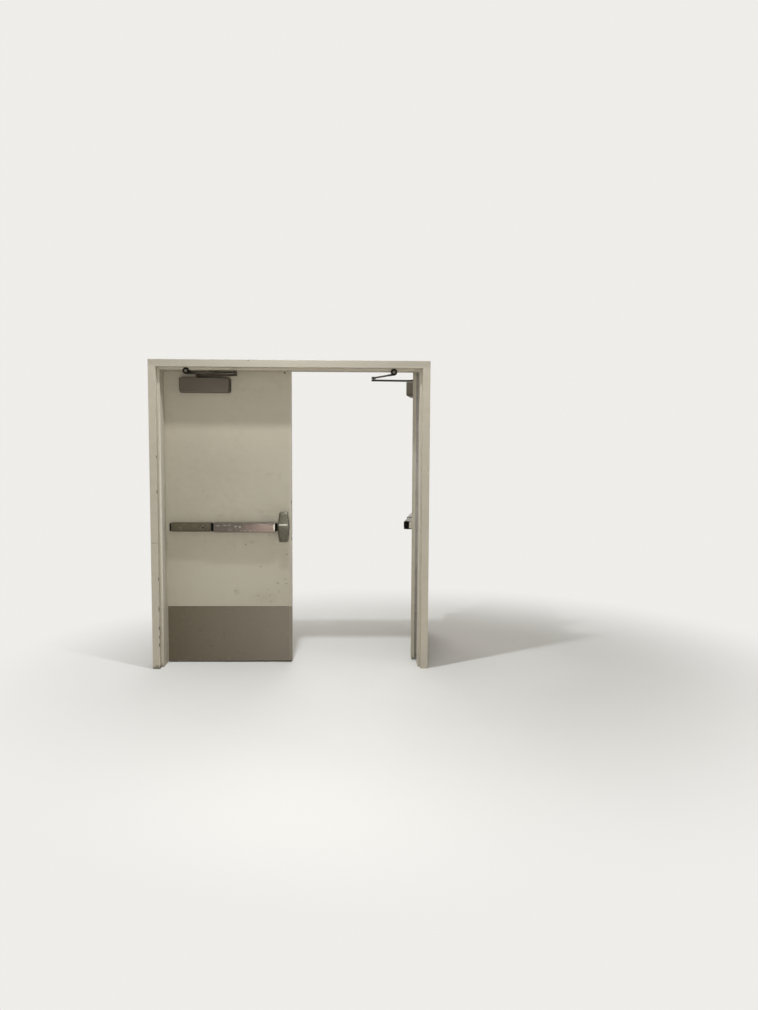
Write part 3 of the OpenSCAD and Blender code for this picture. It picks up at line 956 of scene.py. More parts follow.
@dataclass(frozen=True)
class Moulded(Finish):
    """Moulded plastic or rubber with a fine matt skin."""

    dust: Colour = (0.016, 0.014, 0.012)
    skin: float = 0.4
    shine: float = 0.02

    def fill(self, graph: Graph, shader: bpy.types.Node, vector: object) -> None:
        """Lays dust and rubbed edges over the skin."""
        dust = Grime().mask(graph, Vector=vector, Scale=14.0, Amount=0.35, Foot=0.02)
        edge = EdgeWear().mask(graph, Vector=vector, Width=1.0 * MM, Amount=0.3, Scale=150.0)
        colour = graph.mix(edge, graph.mix(dust, self.colour, self.dust), self.dust)
        grit = graph.noise(vector, 1400.0, 3.0, 0.6)
        rough = graph.ramp(grit, 0.2, 0.8, self.roughness - 0.05, self.roughness + 0.1)
        self.surface(graph, shader, colour, rough, grit, 0.2 * MM, self.skin)
        shader.inputs["Specular IOR Level"].default_value = self.shine


# Marks of wear, dirt, painted light and painted shade, and the finishes that carry them


DARK_CHIP: Colour = (0.10, 0.085, 0.07)
# Tone of the kick plate's painted reflection, paler towards its free end
KICK_REFLECTION_TONE: Colour = (0.155, 0.134, 0.105)
NEAR_BLACK: Colour = (0.006, 0.005, 0.004)
FRAME_FRONT = -111


def jamb_marks() -> tuple[Mark, ...]:
    """Lists the chips along the inner edge of the left jamb, its crack and its worn foot.

    Returns:
        The marks, in the order in which they are laid.
    """
    heights = (
        (1489, 4.5, 11), (1247, 5, 16), (638, 4.5, 12), (426, 5, 20), (291, 6, 15), (227, 4.5, 10),
        (170, 5.5, 16),
    )
    rows = [(2, z, wide, high, 1.0) for z, wide, high in heights]
    crack = Mark(mm(-22, FRAME_FRONT, 891), mm(30, 14, 3.4), (0.16, 0.14, 0.11), 0.85, 0.9, 200, 0.5)
    foot = Mark(mm(-14, -90, 6), mm(50, 60, 26), (0.11, 0.1, 0.08), 0.9, 0.9, 60, 0.5)
    return (*marks(rows, FRAME_FRONT, 9, DARK_CHIP, 1.0, 150, 0.2), crack, foot)


def stop_painted_light() -> tuple[Mark, ...]:
    """Lists the painted light on the two side stops: a painted highlight down their fronts and paler painted
    light on their sides.

    Returns:
        The marks, in the order in which they are laid.
    """
    sides = [(x, 1000, 12, 1200, 0.75) for x in (18, 1811)]
    fronts = [(x, 1000, 10, 1180, 0.85) for x in (15, 1814)]
    return (
        # Paler painted light on the stops' sides
        *marks(sides, -22, 46, (0.46, 0.425, 0.37), 0.25, 30, 0.4),
        # Painted highlight down the stops' fronts
        *marks(fronts, -52, 20, (0.56, 0.535, 0.47), 0.25, 30, 0.5),
    )


def head_marks() -> tuple[Mark, ...]:
    """Lists the shade on the frame's head and the one chip in it.

    Returns:
        The marks, in the order in which they are laid.
    """
    shade = Mark(mm(920, FRAME_FRONT, 2135), mm(1250, 8, 55), (0.3, 0.276, 0.226), 0.85, 0.15, 20, 0.3)
    chip = Mark(mm(636.5, FRAME_FRONT, 2149), mm(5, 8, 6), DARK_CHIP, 0.9, 1.0, 150)
    return (shade, chip)


def leaf_marks_and_edge_shade() -> tuple[Mark, ...]:
    """Lists the smudges and specks on the leaf's push face, the paler patch over its lower half and the painted
    shade on its hinge edge.

    Returns:
        The marks, in the order in which they are laid.
    """
    smears = (
        (410, 1400, 340, 260, 0.3), (694, 1093, 34, 26, 0.5), (719, 1060, 40, 22, 0.5),
        (664, 1108, 30, 14, 0.4), (402, 1067, 26, 16, 0.35), (628, 877, 30, 16, 0.55),
        (165, 1550, 16, 14, 0.35), (310, 1207, 22, 18, 0.35), (473, 1172, 30, 20, 0.3),
        (753, 1365, 60, 16, 0.3), (824, 1351, 22, 40, 0.3), (201, 1406, 40, 22, 0.25),
        (276, 1242, 20, 40, 0.25), (700, 470, 130, 60, 0.3), (505, 515, 30, 34, 0.4),
    )
    specks = (
        (576, 860, 9, 8, 0.8), (500, 525, 12, 8, 0.5), (739, 532, 8, 9, 0.35), (663, 487, 12, 12, 0.4),
        (747, 490, 10, 10, 0.35), (756, 443, 11, 9, 0.4), (804, 580, 14, 7, 0.75), (858, 609, 10, 8, 0.5),
        (866, 575, 14, 8, 0.5), (812, 517, 8, 12, 0.35), (682, 700, 12, 8, 0.4), (748, 927, 10, 7, 0.5),
    )
    return (
        # A paler patch over the lower half of the push face
        Mark(mm(450, -50, 600), mm(620, 50, 300), (0.352, 0.326, 0.262), 0.85, 0.5, 7, 0.8),
        *marks(smears, -50, 50, (0.235, 0.215, 0.17), 1.2, 24, 0.9),
        *marks(specks, -50, 20, (0.15, 0.135, 0.105), 1.0, 130, 0.6),
        # Painted shade on the hinge edge
        Mark(mm(2, -28, 1050), mm(7, 40, 1300), (0.195, 0.18, 0.148), 0.9, 0.2, 20, 0.2),
    )


def guard_marks() -> tuple[Mark, ...]:
    """Lists the guard's two chips and its lower front, which takes the kick plate's tone with its painted
    reflection.

    Returns:
        The marks, in the order in which they are laid.
    """
    chips = ((905, 1164, 5, 14, 0.9), (905, 902, 5, 12, 0.9))
    # The lower front in the kick plate's tone, painted reflection included
    lower = Mark(mm(898, -51, 200), mm(50, 5, 213.5), KICK_REFLECTION_TONE, 1.0, 0.05, 60, 0.03)
    return (*marks(chips, -50, 12, DARK_CHIP, 1.0, 150, 0.2), lower)


def pad_marks_and_end_highlight() -> tuple[Mark, ...]:
    """Lists the touchpad's rosy half, the painted highlight on its free end and its pale nicks.

    Returns:
        The marks, in the order in which they are laid.
    """
    nicks = (
        (390, 1001, 18, 7, 0.5), (440, 1004, 22, 6, 0.45), (472, 1006, 12, 6, 0.5), (515, 996, 12, 8, 0.6),
        (545, 993, 9, 9, 0.8), (555, 967, 12, 6, 0.25), (583, 966, 14, 6, 0.3), (620, 965, 12, 6, 0.3),
        (480, 972, 20, 5, 0.3), (700, 1011, 60, 4, 0.5),
    )
    return (
        Mark(mm(700, -120, 985), mm(160, 80, 50), (0.185, 0.13, 0.114), 0.75, 0.5, 14, 0.8),
        # Painted highlight on the free end
        Mark(mm(792, -120, 992), mm(14, 80, 34), (0.46, 0.42, 0.37), 0.8, 0.3, 60, 0.5),
        *marks(nicks, -120, 20, (0.36, 0.335, 0.3), 1.0, 110, 0.6),
    )


def kick_reflection_and_smudges() -> tuple[Mark, ...]:
    """Lists the painted reflection that makes the kick plate paler towards its free end, and its few dark
    smudges.

    Returns:
        The marks, in the order in which they are laid.
    """
    spots = (
        (245, 233, 38, 26, 0.4), (301, 160, 22, 20, 0.5), (321, 123, 24, 18, 0.5), (415, 207, 12, 30, 0.5),
        (514, 72, 18, 12, 0.45), (557, 64, 20, 14, 0.4), (452, 390, 16, 12, 0.5), (36, 207, 6, 6, 0.5),
    )
    # Painted reflection, paler towards the free end
    painted_reflection = Mark(mm(1000, -50, 200), mm(900, 200, 900), KICK_REFLECTION_TONE, 0.9, 0.12, 5, 1.0)
    return (painted_reflection, *marks(spots, -50, 20, (0.075, 0.062, 0.042), 1.0, 50, 0.9))


def closer_end_shade() -> tuple[Mark, ...]:
    """Lists the painted shade on the two ends of the closer's cover.

    Returns:
        The marks, in the order in which they are laid.
    """
    # Painted shade at each end of the cover
    return tuple(
        Mark(mm(u, -80, 1987.5), mm(wide, 60, 160), (grey, grey, grey), 0.95, 0.1, 60, 0.2)
        for u, wide, grey in ((119, 13, 0.012), (484, 8, 0.026))
    )


def case_end_and_keyway_shade() -> tuple[Mark, ...]:
    """Lists the painted shade at the mechanism case's two ends and in its keyway.

    Returns:
        The marks, in the order in which they are laid.
    """
    ends = (343.5, 9), (60.5, 3.5)
    return (
        # Painted shade at the case's two ends, then in its keyway
        *(Mark(mm(u, -90, 988), mm(wide, 80, 50), NEAR_BLACK, 1.0, 0.05, 60, 0.1) for u, wide in ends),
        Mark(mm(285, -115, 988), mm(7, 30, 7.5), NEAR_BLACK, 0.95, 0.2, 60, 0.2),
    )


def bar_head_painted_light() -> tuple[Mark, ...]:
    """Lists the painted light on the exit device's head: a painted highlight on its ridge, painted shade below
    it, a paler top, painted shade down its side towards the free edge and a painted highlight on its bevel
    towards the hinge.

    Returns:
        The marks, in the order in which they are laid.
    """
    return (
        # Painted highlight on the ridge, painted shade below it, a paler top, painted shade on the free-edge
        # side, painted highlight on the hinge-side bevel
        Mark(mm(849.5, -124, 1008.5), mm(50, 30, 6), (0.44, 0.415, 0.355), 0.65, 0.25, 60, 0.5),
        Mark(mm(849.5, -120, 984), mm(16, 30, 5), (0.03, 0.03, 0.02), 0.7, 0.8, 120, 0.5),
        Mark(mm(849.5, -110, 1089), mm(26, 30, 8), (0.2, 0.185, 0.15), 0.6, 0.5, 60, 0.5),
        Mark(mm(887, -100, 990), mm(6, 60, 120), (0.04, 0.037, 0.028), 0.8, 0.3, 60, 0.5),
        Mark(mm(817, -115, 1040), mm(6, 30, 50), (0.24, 0.228, 0.185), 0.6, 0.4, 60, 0.7),
    )


class Finishes:
    """The doorset's own finishes."""

    frame = Paint(
        "frame_paint", (0.385, 0.352, 0.288), under=(0.13, 0.11, 0.085), dirt=(0.23, 0.2, 0.155),
        wear=0.42, grime=0.25, foot=0.22, scuffs=0.12, marks=(*jamb_marks(), *stop_painted_light(), *head_marks()),
    )
    leaf = Paint(
        "leaf_paint", (0.318, 0.292, 0.229), 0.46, under=(0.16, 0.14, 0.11), dirt=(0.2, 0.18, 0.14),
        wear=0.36, grime=0.3, foot=0.5, scuffs=0.22, marks=leaf_marks_and_edge_shade(),
    )
    guard = Paint(
        "guard_paint", (0.32, 0.292, 0.236), 0.36, under=(0.22, 0.2, 0.17), wear=0.4, wear_width=1.2 * MM,
        grime=0.2, scuffs=0.3, marks=guard_marks(),
    )
    hinge = Metal(
        "hinge_steel", (0.132, 0.124, 0.108), 0.42, metallic=0.55, grain_way=(1.0, 1.0, 80.0), grain=0.3,
        wear=0.45,
    )
    kick = Metal(
        "kick_metal", (0.09, 0.074, 0.046), 0.48, bright=(0.3, 0.27, 0.22), dirt=(0.075, 0.062, 0.045),
        metallic=0.3, grain_way=(70.0, 1.0, 1.0), grain=0.1, scuffs=0.25, scuff_way=(9.0, 1.0, 1.6),
        marks=kick_reflection_and_smudges(),
    )
    closer = Paint(
        "closer_paint", (0.071, 0.057, 0.041), 0.42, under=(0.2, 0.17, 0.13), dirt=(0.1, 0.085, 0.065),
        peel=0.3, peel_scale=900, wear=0.3, wear_width=1.2 * MM, grime=0.3, foot=0.01, scuffs=0.12,
        scuff_colour=(0.18, 0.16, 0.13), shine=0.3, marks=closer_end_shade(),
    )
    arm = Paint(
        "arm_paint", (0.024, 0.019, 0.011), 0.45, slot_name="closer_paint", under=(0.16, 0.14, 0.11),
        dirt=(0.06, 0.05, 0.036), peel=0.2, peel_scale=900, wear=0.32, wear_width=0.8 * MM, foot=0.01,
        shine=0.25,
        # The mark is a painted highlight along the forearm's middle
        marks=(Mark(mm(315, 0, 2070.5), mm(110, 80, 5.2), (0.15, 0.125, 0.098), 0.75, 0.5, 60, 0.6),),
    )
    device = Metal(
        "device_metal", (0.05, 0.043, 0.022), 0.44, bright=(0.34, 0.31, 0.26), metallic=0.5, grain=0.3,
        wear=0.42, smudge=0.5, scuffs=0.5, marks=case_end_and_keyway_shade(),
    )
    head = Metal(
        "head_metal", (0.081, 0.076, 0.051), 0.38, slot_name="device_metal", bright=(0.36, 0.34, 0.28),
        metallic=0.45, grain_way=(1.0, 1.0, 60.0), grain=0.25, wear=0.45, smudge=0.5,
        scuff_way=(2.0, 1.0, 6.0),
        marks=bar_head_painted_light(),
    )
    pad = Metal(
        "pad_metal", (0.112, 0.093, 0.076), 0.4, bright=(0.4, 0.36, 0.32), metallic=0.55,
        grain_way=(80.0, 1.0, 1.0), grain=0.4, wear=0.45, smudge=0.5, scuffs=0.8, scuff_way=(14.0, 1.0, 1.2),
        marks=pad_marks_and_end_highlight(),
    )
    plated = Metal(
        "plated_steel", (0.5, 0.49, 0.45), 0.36, metallic=0.9, grain_way=(1.0, 30.0, 1.0), grain=0.25,
        wear=0.4, smudge=0.5,
    )
    disc = Metal(
        "stop_disc", (0.17, 0.152, 0.12), slot_name="plated_steel", bright=(0.34, 0.31, 0.26), metallic=0.2,
        grain=0.2, wear=0.3, smudge=0.5,
    )
    bracket = Metal(
        "bracket_steel", (0.3, 0.28, 0.225), 0.45, slot_name="plated_steel", bright=(0.5, 0.47, 0.4),
        metallic=0.3, grain_way=(1.0, 1.0, 30.0), grain=0.2, wear=0.4, smudge=0.5,
    )
    plastic = Moulded("black_plastic", (0.004, 0.0035, 0.003), 0.75)
    rubber = Moulded("rubber", (0.05, 0.048, 0.045), 0.8)


# Sub-assemblies


@dataclass
class CarriedOver:
    """The CAD nodes whose shape is right, which only get their finish."""

    fixed: dict[str, Finish] = field(default_factory=lambda: {
        "frame_head": Finishes.frame, "frame_jamb_left": Finishes.frame, "frame_jamb_right": Finishes.frame,
        "wall_anchors_left": Finishes.plated, "wall_anchors_right": Finishes.plated,
        "floor_anchor_left": Finishes.plated, "floor_anchor_right": Finishes.plated,
        "silencers": Finishes.rubber, "top_strikes": Finishes.plated,
    })
    per_side: dict[str, Finish] = field(default_factory=lambda: {
        "leaf": Finishes.leaf, "edge_guard": Finishes.guard, "kick_plate": Finishes.kick,
        "hinge_frame_plate": Finishes.hinge, "hinge_door_plate": Finishes.hinge, "hinge_pin": Finishes.hinge,
        "closer_body": Finishes.plated, "bar_rail": Finishes.device,
    })
    beside_leaf: tuple[str, ...] = ("hinge_frame_plate", "hinge_pin")

    def dress(self) -> None:
        """Gives each node its finish."""
        for node, finish in self.fixed.items():
            self._paint(node, finish, Lay.FRAME)
        for side in Side:
            for part, finish in self.per_side.items():
                lay = Lay.FRAME if part in self.beside_leaf else Lay(side.value)
                self._paint(f"{side.value}_{part}", finish, lay)

    def _paint(self, node: str, finish: Finish, lay: Lay) -> None:
        """Puts a finish on one node.

        Args:
            node: The node's name.
            finish: Its finish.
            lay: Whose coordinates the finish follows.
        """
        obj = frame["nodes"][node]
        material = finish.make(lay)
        obj.data.materials.clear()
        obj.data.materials.append(material)
        log.info("%s keeps its shape, in %s", node, material.name)


@dataclass
class Screw:
    """A low round screw head with a recess for its driver."""

    radius: float
    height: float

    def build(self, name: str) -> Shape:
        """Models one head on the push side of a plane at v = 0, its top towards -v.

        Args:
            name: The piece's name.

        Returns:
            The head.
        """
        head = Shape.rod(name, (0, 0, 0), Y, -self.height, self.radius, 18)
        head.bevel(rim(Y, -self.height), self.height * 0.55, 2)
        return head.inset(facing(Y, -1, FLAT), self.radius * 0.42, (0, self.height * 0.6, 0))

    def scatter(self, name: str, places: Sequence[Matrix]) -> Shape:
        """Copies a head to several places and joins them.

        Args:
            name: The piece's name.
            places: Where each head goes.

        Returns:
            All heads as one piece.
        """
        model = self.build(name)
        others = [model.copy(f"{name}_{number}").place(place) for number, place in enumerate(places[1:])]
        model.place(places[0])
        return model.join(*others) if others else model


@dataclass
class LeafPieces:
    """What the pieces that belong to one leaf share."""

    side: Side

    def name(self, part: str) -> str:
        """Returns a piece's name on this side."""
        return f"{self.side.value}_{part}"

    def block(self, part: str, low: Point, high: Point) -> Shape:
        """Starts a block with this side's name."""
        return Shape.block(self.name(part), low, high)

    def rod(self, part: str, foot: Point, axis: Axis, length: float, radius: float, sides: int = 40) -> Shape:
        """Starts a round bar with this side's name."""
        return Shape.rod(self.name(part), foot, axis, length, radius, sides)

    def screws(self, part: str, radius: float, height: float, places: Sequence[Matrix]) -> Shape:
        """Models screw heads at several places, with this side's name."""
        return Screw(radius, height).scatter(self.name(part), places)

    def swing(self, shape: Shape, finish: Finish, *parts: str, body: str = "door") -> None:
        """Places a piece on its leaf and hangs it on one of this side's bodies.

        Args:
            shape: The piece, in leaf coordinates.
            finish: Its finish.
            parts: The CAD parts that it takes the place of.
            body: The body's name on this side.
        """
        shape.place(DOORSET.on_leaf(self.side))
        shape.finish(self.name(body), finish, Lay(self.side.value), *map(self.name, parts))

    def stay(
        self, shape: Shape, finish: Finish, *parts: str, body: str = "frame", at: Matrix = Matrix.Identity(4)
    ) -> None:
        """Places a piece by the hinge axis and hangs it on a body that the leaf doesn't carry.

        Args:
            shape: The piece, in axis coordinates.
            finish: Its finish.
            parts: The CAD parts that it takes the place of.
            body: The body's full name.
            at: A further move within axis coordinates, made first.
        """
        shape.place(DOORSET.at_axis(self.side) @ at)
        shape.finish(body, finish, Lay.FRAME, *map(self.name, parts))


@dataclass
class Closer(LeafPieces):
    """Surface closer: drafted cover, main arm, forearm and its shoe under the head stop."""

    start: float = 119 * MM
    length: float = 365 * MM
    height: float = 106 * MM
    depth: float = 60 * MM
    draft: float = 11 * MM
    top: float = 2040.5 * MM
    lower_round: float = 18 * MM
    upper_round: float = 11 * MM
    front_round: float = 4.2 * MM
    groove: float = 0.9 * MM
    pinion_u: float = 261 * MM
    pinion_v: float = -80 * MM
    collar_r: float = 15 * MM
    valve_pitch: float = 15 * MM
    main_arm: float = 288 * MM
    elbow_out: float = 106 * MM
    shoe: tuple[float, float] = (194 * MM, -80 * MM)
    arm_t: float = 9 * MM
    arm_w: float = 32 * MM
    arm_gap: float = 4 * MM
    elbow_d: float = 34 * MM
    rod_r: float = 6.7 * MM
    sleeve_half: float = 7.1 * MM
    lock_l: float = 8 * MM
    housing_d: float = 46 * MM
    housing_l: float = 12 * MM
    shoe_front: float = -180 * MM
    shoe_t: float = 6 * MM

    @property
    def low(self) -> float:
        """The height of the cover's underside."""
        return self.top - self.height

    @property
    def arm_z(self) -> float:
        """The height of the main arm's underside."""
        return self.top + 5 * MM

    @property
    def rod_z(self) -> float:
        """The height of the forearm's underside."""
        return self.arm_z + 1.6 * self.arm_t + self.arm_gap

    @property
    def forearm(self) -> float:
        """The forearm's length between its centres."""
        along = math.sqrt(self.main_arm**2 - self.elbow_out**2)
        elbow = Vector((self.pinion_u + along, self.pinion_v - self.elbow_out))
        return (elbow - Vector(self.shoe)).length

    def linkage(self) -> tuple[Vector, float, Vector, float]:
        """Solves the two arms for the angle at which the leaf stands.

        Returns:
            The pinion, the main arm's direction, the elbow and the forearm's direction.
        """
        opened = DOORSET.opened(self.side)
        cos, sin = math.cos(opened), math.sin(opened)
        u, v = self.pinion_u, self.pinion_v
        pinion = Vector((u * cos - v * sin, u * sin + v * cos))
        reach = Vector(self.shoe) - pinion
        s = reach.length
        bend = math.acos((s * s + self.main_arm**2 - self.forearm**2) / (2 * s * self.main_arm))
        first = math.atan2(reach.y, reach.x) + bend
        elbow = pinion + self.main_arm * Vector((math.cos(first), math.sin(first)))
        last = Vector(self.shoe) - elbow
        return pinion, first, elbow, math.atan2(last.y, last.x)

    def build(self) -> None:
        """Models the closer's pieces and hangs them on their bodies."""
        self.build_cover()
        self.build_main_arm()
        self.build_forearm()
        self.build_shoe()
        self.build_housing_cap()
        self.build_shoe_screws()

    def build_cover(self) -> None:
        """Models the cover: drafted ends, round lower corners, soft front edges."""
        leaf, end = DOORSET.push_v, self.start + self.length
        front = leaf - self.depth
        middle = ((self.start + end) / 2, front, self.top - self.height / 2)
        shape = self.block("cover", (self.start, front, self.low), (end, leaf - FIT, self.top))
        shape.resize(facing(Y, -1), (1 - 2 * self.draft / self.length, 1, 1 - 4 * MM / self.height), middle)
        for low, radius, segments in ((True, self.lower_round, 7), (False, self.upper_round, 5)):
            corner = lambda edge: span(edge, Y) > 30 * MM and (edge.verts[0].co.z < middle[2]) == low
            shape.bevel(corner, radius, segments)
        shape.bevel(rim(Y, front, 0.1 * MM), self.front_round, 4)
        shape.cut(Y, leaf - 5 * MM, leaf - 3.6 * MM)
        between = lambda v: leaf - 4.6 * MM < v < leaf - 4 * MM
        band = lambda face: between(face.calc_center_median().y) and abs(face.normal.y) < 0.5
        shape.sink(band, self.groove)
        foot = (self.pinion_u, self.pinion_v, self.top - 3 * MM)
        collar = self.rod("collar", foot, Z, 3.6 * MM, self.collar_r, 36)
        collar.bevel(rim(Z, self.top + 0.6 * MM), 0.8 * MM, 2)
        collar.inset(facing(Z), 4 * MM, (0, 0, -1.4 * MM))
        valves = self.screws("valves", 3.4 * MM, 1.0 * MM, [
            turned((end - 26 * MM - i * self.valve_pitch, leaf - 30 * MM, self.low + 0.5 * MM), QUARTER, X)
            for i in range(3)
        ])
        shape.join(collar).join(valves)
        self.swing(shape, Finishes.closer, "closer_cover")

    def build_main_arm(self) -> None:
        """Models the forged main arm with its hubs, pinion nut and elbow screw."""
        long, thick, z = self.main_arm, self.arm_t, self.arm_z
        tall = 1.6 * thick
        bar = self.block("main_arm", (0, -self.arm_w / 2, z), (long, self.arm_w / 2, z + 1.45 * thick))
        bar.resize(facing(X), (1, 0.7, 1), (long, 0, z))
        bar.cut(X, long * 0.5)
        bar.bevel(lambda edge: span(edge, X) > 20 * MM, 2.4 * MM)
        bar.inset(facing(Z, 1, FLAT), 5 * MM, (0, 0, -1.2 * MM))
        hub = self.rod("arm_hub", (0, 0, z), Z, tall, self.arm_w / 2 + 2 * MM)
        hub.bevel(rim(Z, z + tall), 2.2 * MM).bevel(rim(Z, z), 1.2 * MM, 2)
        shaft = self.rod("arm_shaft", (0, 0, self.top - 6 * MM), Z, z - self.top + 8 * MM, 8 * MM, 24)
        nut = self.rod("arm_nut", (0, 0, z + tall - 0.5 * MM), Z, 2.4 * MM, 9.5 * MM, 6)
        nut.bevel(rim(Z, z + tall + 1.9 * MM), 0.8 * MM, 2)
        elbow = self.rod("arm_elbow", (long, 0, z), Z, tall, self.elbow_d / 2)
        elbow.bevel(rim(Z, z + tall), 1.6 * MM).bevel(rim(Z, z), 2.6 * MM)
        stud_h = tall + self.arm_gap + 1.5 * thick + 3 * MM
        stud = self.rod("arm_stud", (long, 0, z), Z, stud_h, self.elbow_d * 0.15, 24)
        stud.bevel(rim(Z, z + stud_h), 1 * MM, 2)
        bar.join(hub, shaft, nut, elbow, stud)
        pinion, first, _, _ = self.linkage()
        at = turned((*pinion, 0), first, Z)
        self.stay(bar, Finishes.arm, "closer_main_arm", body=self.name("arm"), at=at)

    def build_forearm(self) -> None:
        """Models the forearm: elbow hub, round rod, adjusting sleeve with its lock nut and the eye."""
        long, z, thick = self.forearm, self.rod_z, 1.5 * self.arm_t
        top, mid, half = z + thick, z + thick / 2, self.sleeve_half
        eye_r = self.elbow_d * 0.41
        sleeve_u = long - eye_r - long * 0.2
        foot = (self.elbow_d * 0.3, 0, mid)
        rod = self.rod("forearm", foot, X, long - self.elbow_d * 0.6, self.rod_r, 28)
        hub = self.rod("rod_hub", (0, 0, z), Z, thick, self.elbow_d / 2)
        hub.bevel(rim(Z, top), 2.4 * MM).bevel(rim(Z, z), 1.4 * MM, 2)
        hub.inset(facing(Z), 6 * MM, (0, 0, -1 * MM))
        eye = self.rod("rod_eye", (long, 0, z), Z, thick, eye_r, 36)
        eye.bevel(rim(Z, top), 1.6 * MM, 2).bevel(rim(Z, z), 1.6 * MM, 2)
        high = (long - eye_r * 0.3, half, mid + half)
        sleeve = self.block("rod_sleeve", (sleeve_u, -half, mid - half), high)
        sleeve.bevel(running(X), 2.4 * MM)
        sleeve.bevel(rim(X, sleeve_u), 1.2 * MM, 2)
        lock = self.rod("rod_lock", (sleeve_u - 9 * MM, 0, mid), X, self.lock_l, 9 * MM * 0.78, 6)
        rod.join(hub, eye, sleeve, lock)
        _, _, elbow, last = self.linkage()
        at = turned((*elbow, 0), last, Z)
        self.stay(rod, Finishes.arm, "closer_forearm", body=self.name("rod"), at=at)

    @property
    def housing_z(self) -> float:
        """The height of the round housing's middle."""
        return DOORSET.stop_z + 15 * MM - self.housing_d / 2

    def build_shoe(self) -> None:
        """Models the shoe: soffit plate, pivot boss and the round stop housing."""
        u, v = self.shoe
        half, radius = self.housing_d * 0.35, self.housing_d / 2
        stop, front = DOORSET.stop_z, self.shoe_front
        under = stop - self.shoe_t
        plate = self.block("shoe", (u - half, front, under), (u + half, v + half, stop - 0.1 * MM))
        plate.bevel(running(Z, lambda p: p.y > v), 7 * MM, 4)
        plate.bevel(rim(Z, under), 1.2 * MM, 2)
        boss_z = self.rod_z + 1.5 * self.arm_t + 2 * MM
        boss = self.rod("shoe_boss", (u, v, boss_z), Z, stop - boss_z - 3 * MM, self.elbow_d * 0.4, 36)
        boss.bevel(rim(Z, boss_z), 1.5 * MM, 2)
        ring = self.rod("shoe_ring", (u, front + 0.5 * MM, self.housing_z), Y, -self.housing_l, radius, 48)
        ring.bevel(rim(Y, front + 0.5 * MM - self.housing_l), 2 * MM)
        ring.inset(facing(Y, -1, FLAT), radius * 0.3, (0, 1.6 * MM, 0))
        foot, head = (u - 5 * MM, front, stop - 20 * MM), (u + 5 * MM, front + 40 * MM, stop - 5 * MM)
        gusset = self.block("shoe_gusset", foot, head)
        back_foot = lambda c: c.co.y > front + 30 * MM and c.co.z < stop - 12 * MM
        gusset.move(back_foot, (0, 0, 13 * MM))
        plate.join(boss, ring, gusset)
        self.stay(plate, Finishes.arm, "closer_shoe")

    def build_housing_cap(self) -> None:
        """Models the pale cap in the front of the stop housing."""
        radius, back = self.housing_d / 2, self.shoe_front - 9.5 * MM
        cap = self.rod("shoe_cap", (self.shoe[0], back, self.housing_z), Y, -1.8 * MM, radius * 0.58, 36)
        cap.bevel(rim(Y, back - 1.8 * MM), 1.0 * MM)
        cap.inset(facing(Y, -1, FLAT), radius * 0.22, (0, 0.6 * MM, 0))
        self.stay(cap, Finishes.disc)

    def build_shoe_screws(self) -> None:
        """Models the screws of the soffit plate."""
        u, v = self.shoe
        under = DOORSET.stop_z - self.shoe_t
        screws = self.screws("shoe_screws", 4 * MM, 1.2 * MM, [
            turned((u + s * self.housing_d * 0.189, y, under + 0.1 * MM), QUARTER, X)
            for s in (-1, 1) for y in (v - 34 * MM, v - 72 * MM)
        ])
        self.stay(screws, Finishes.plated)


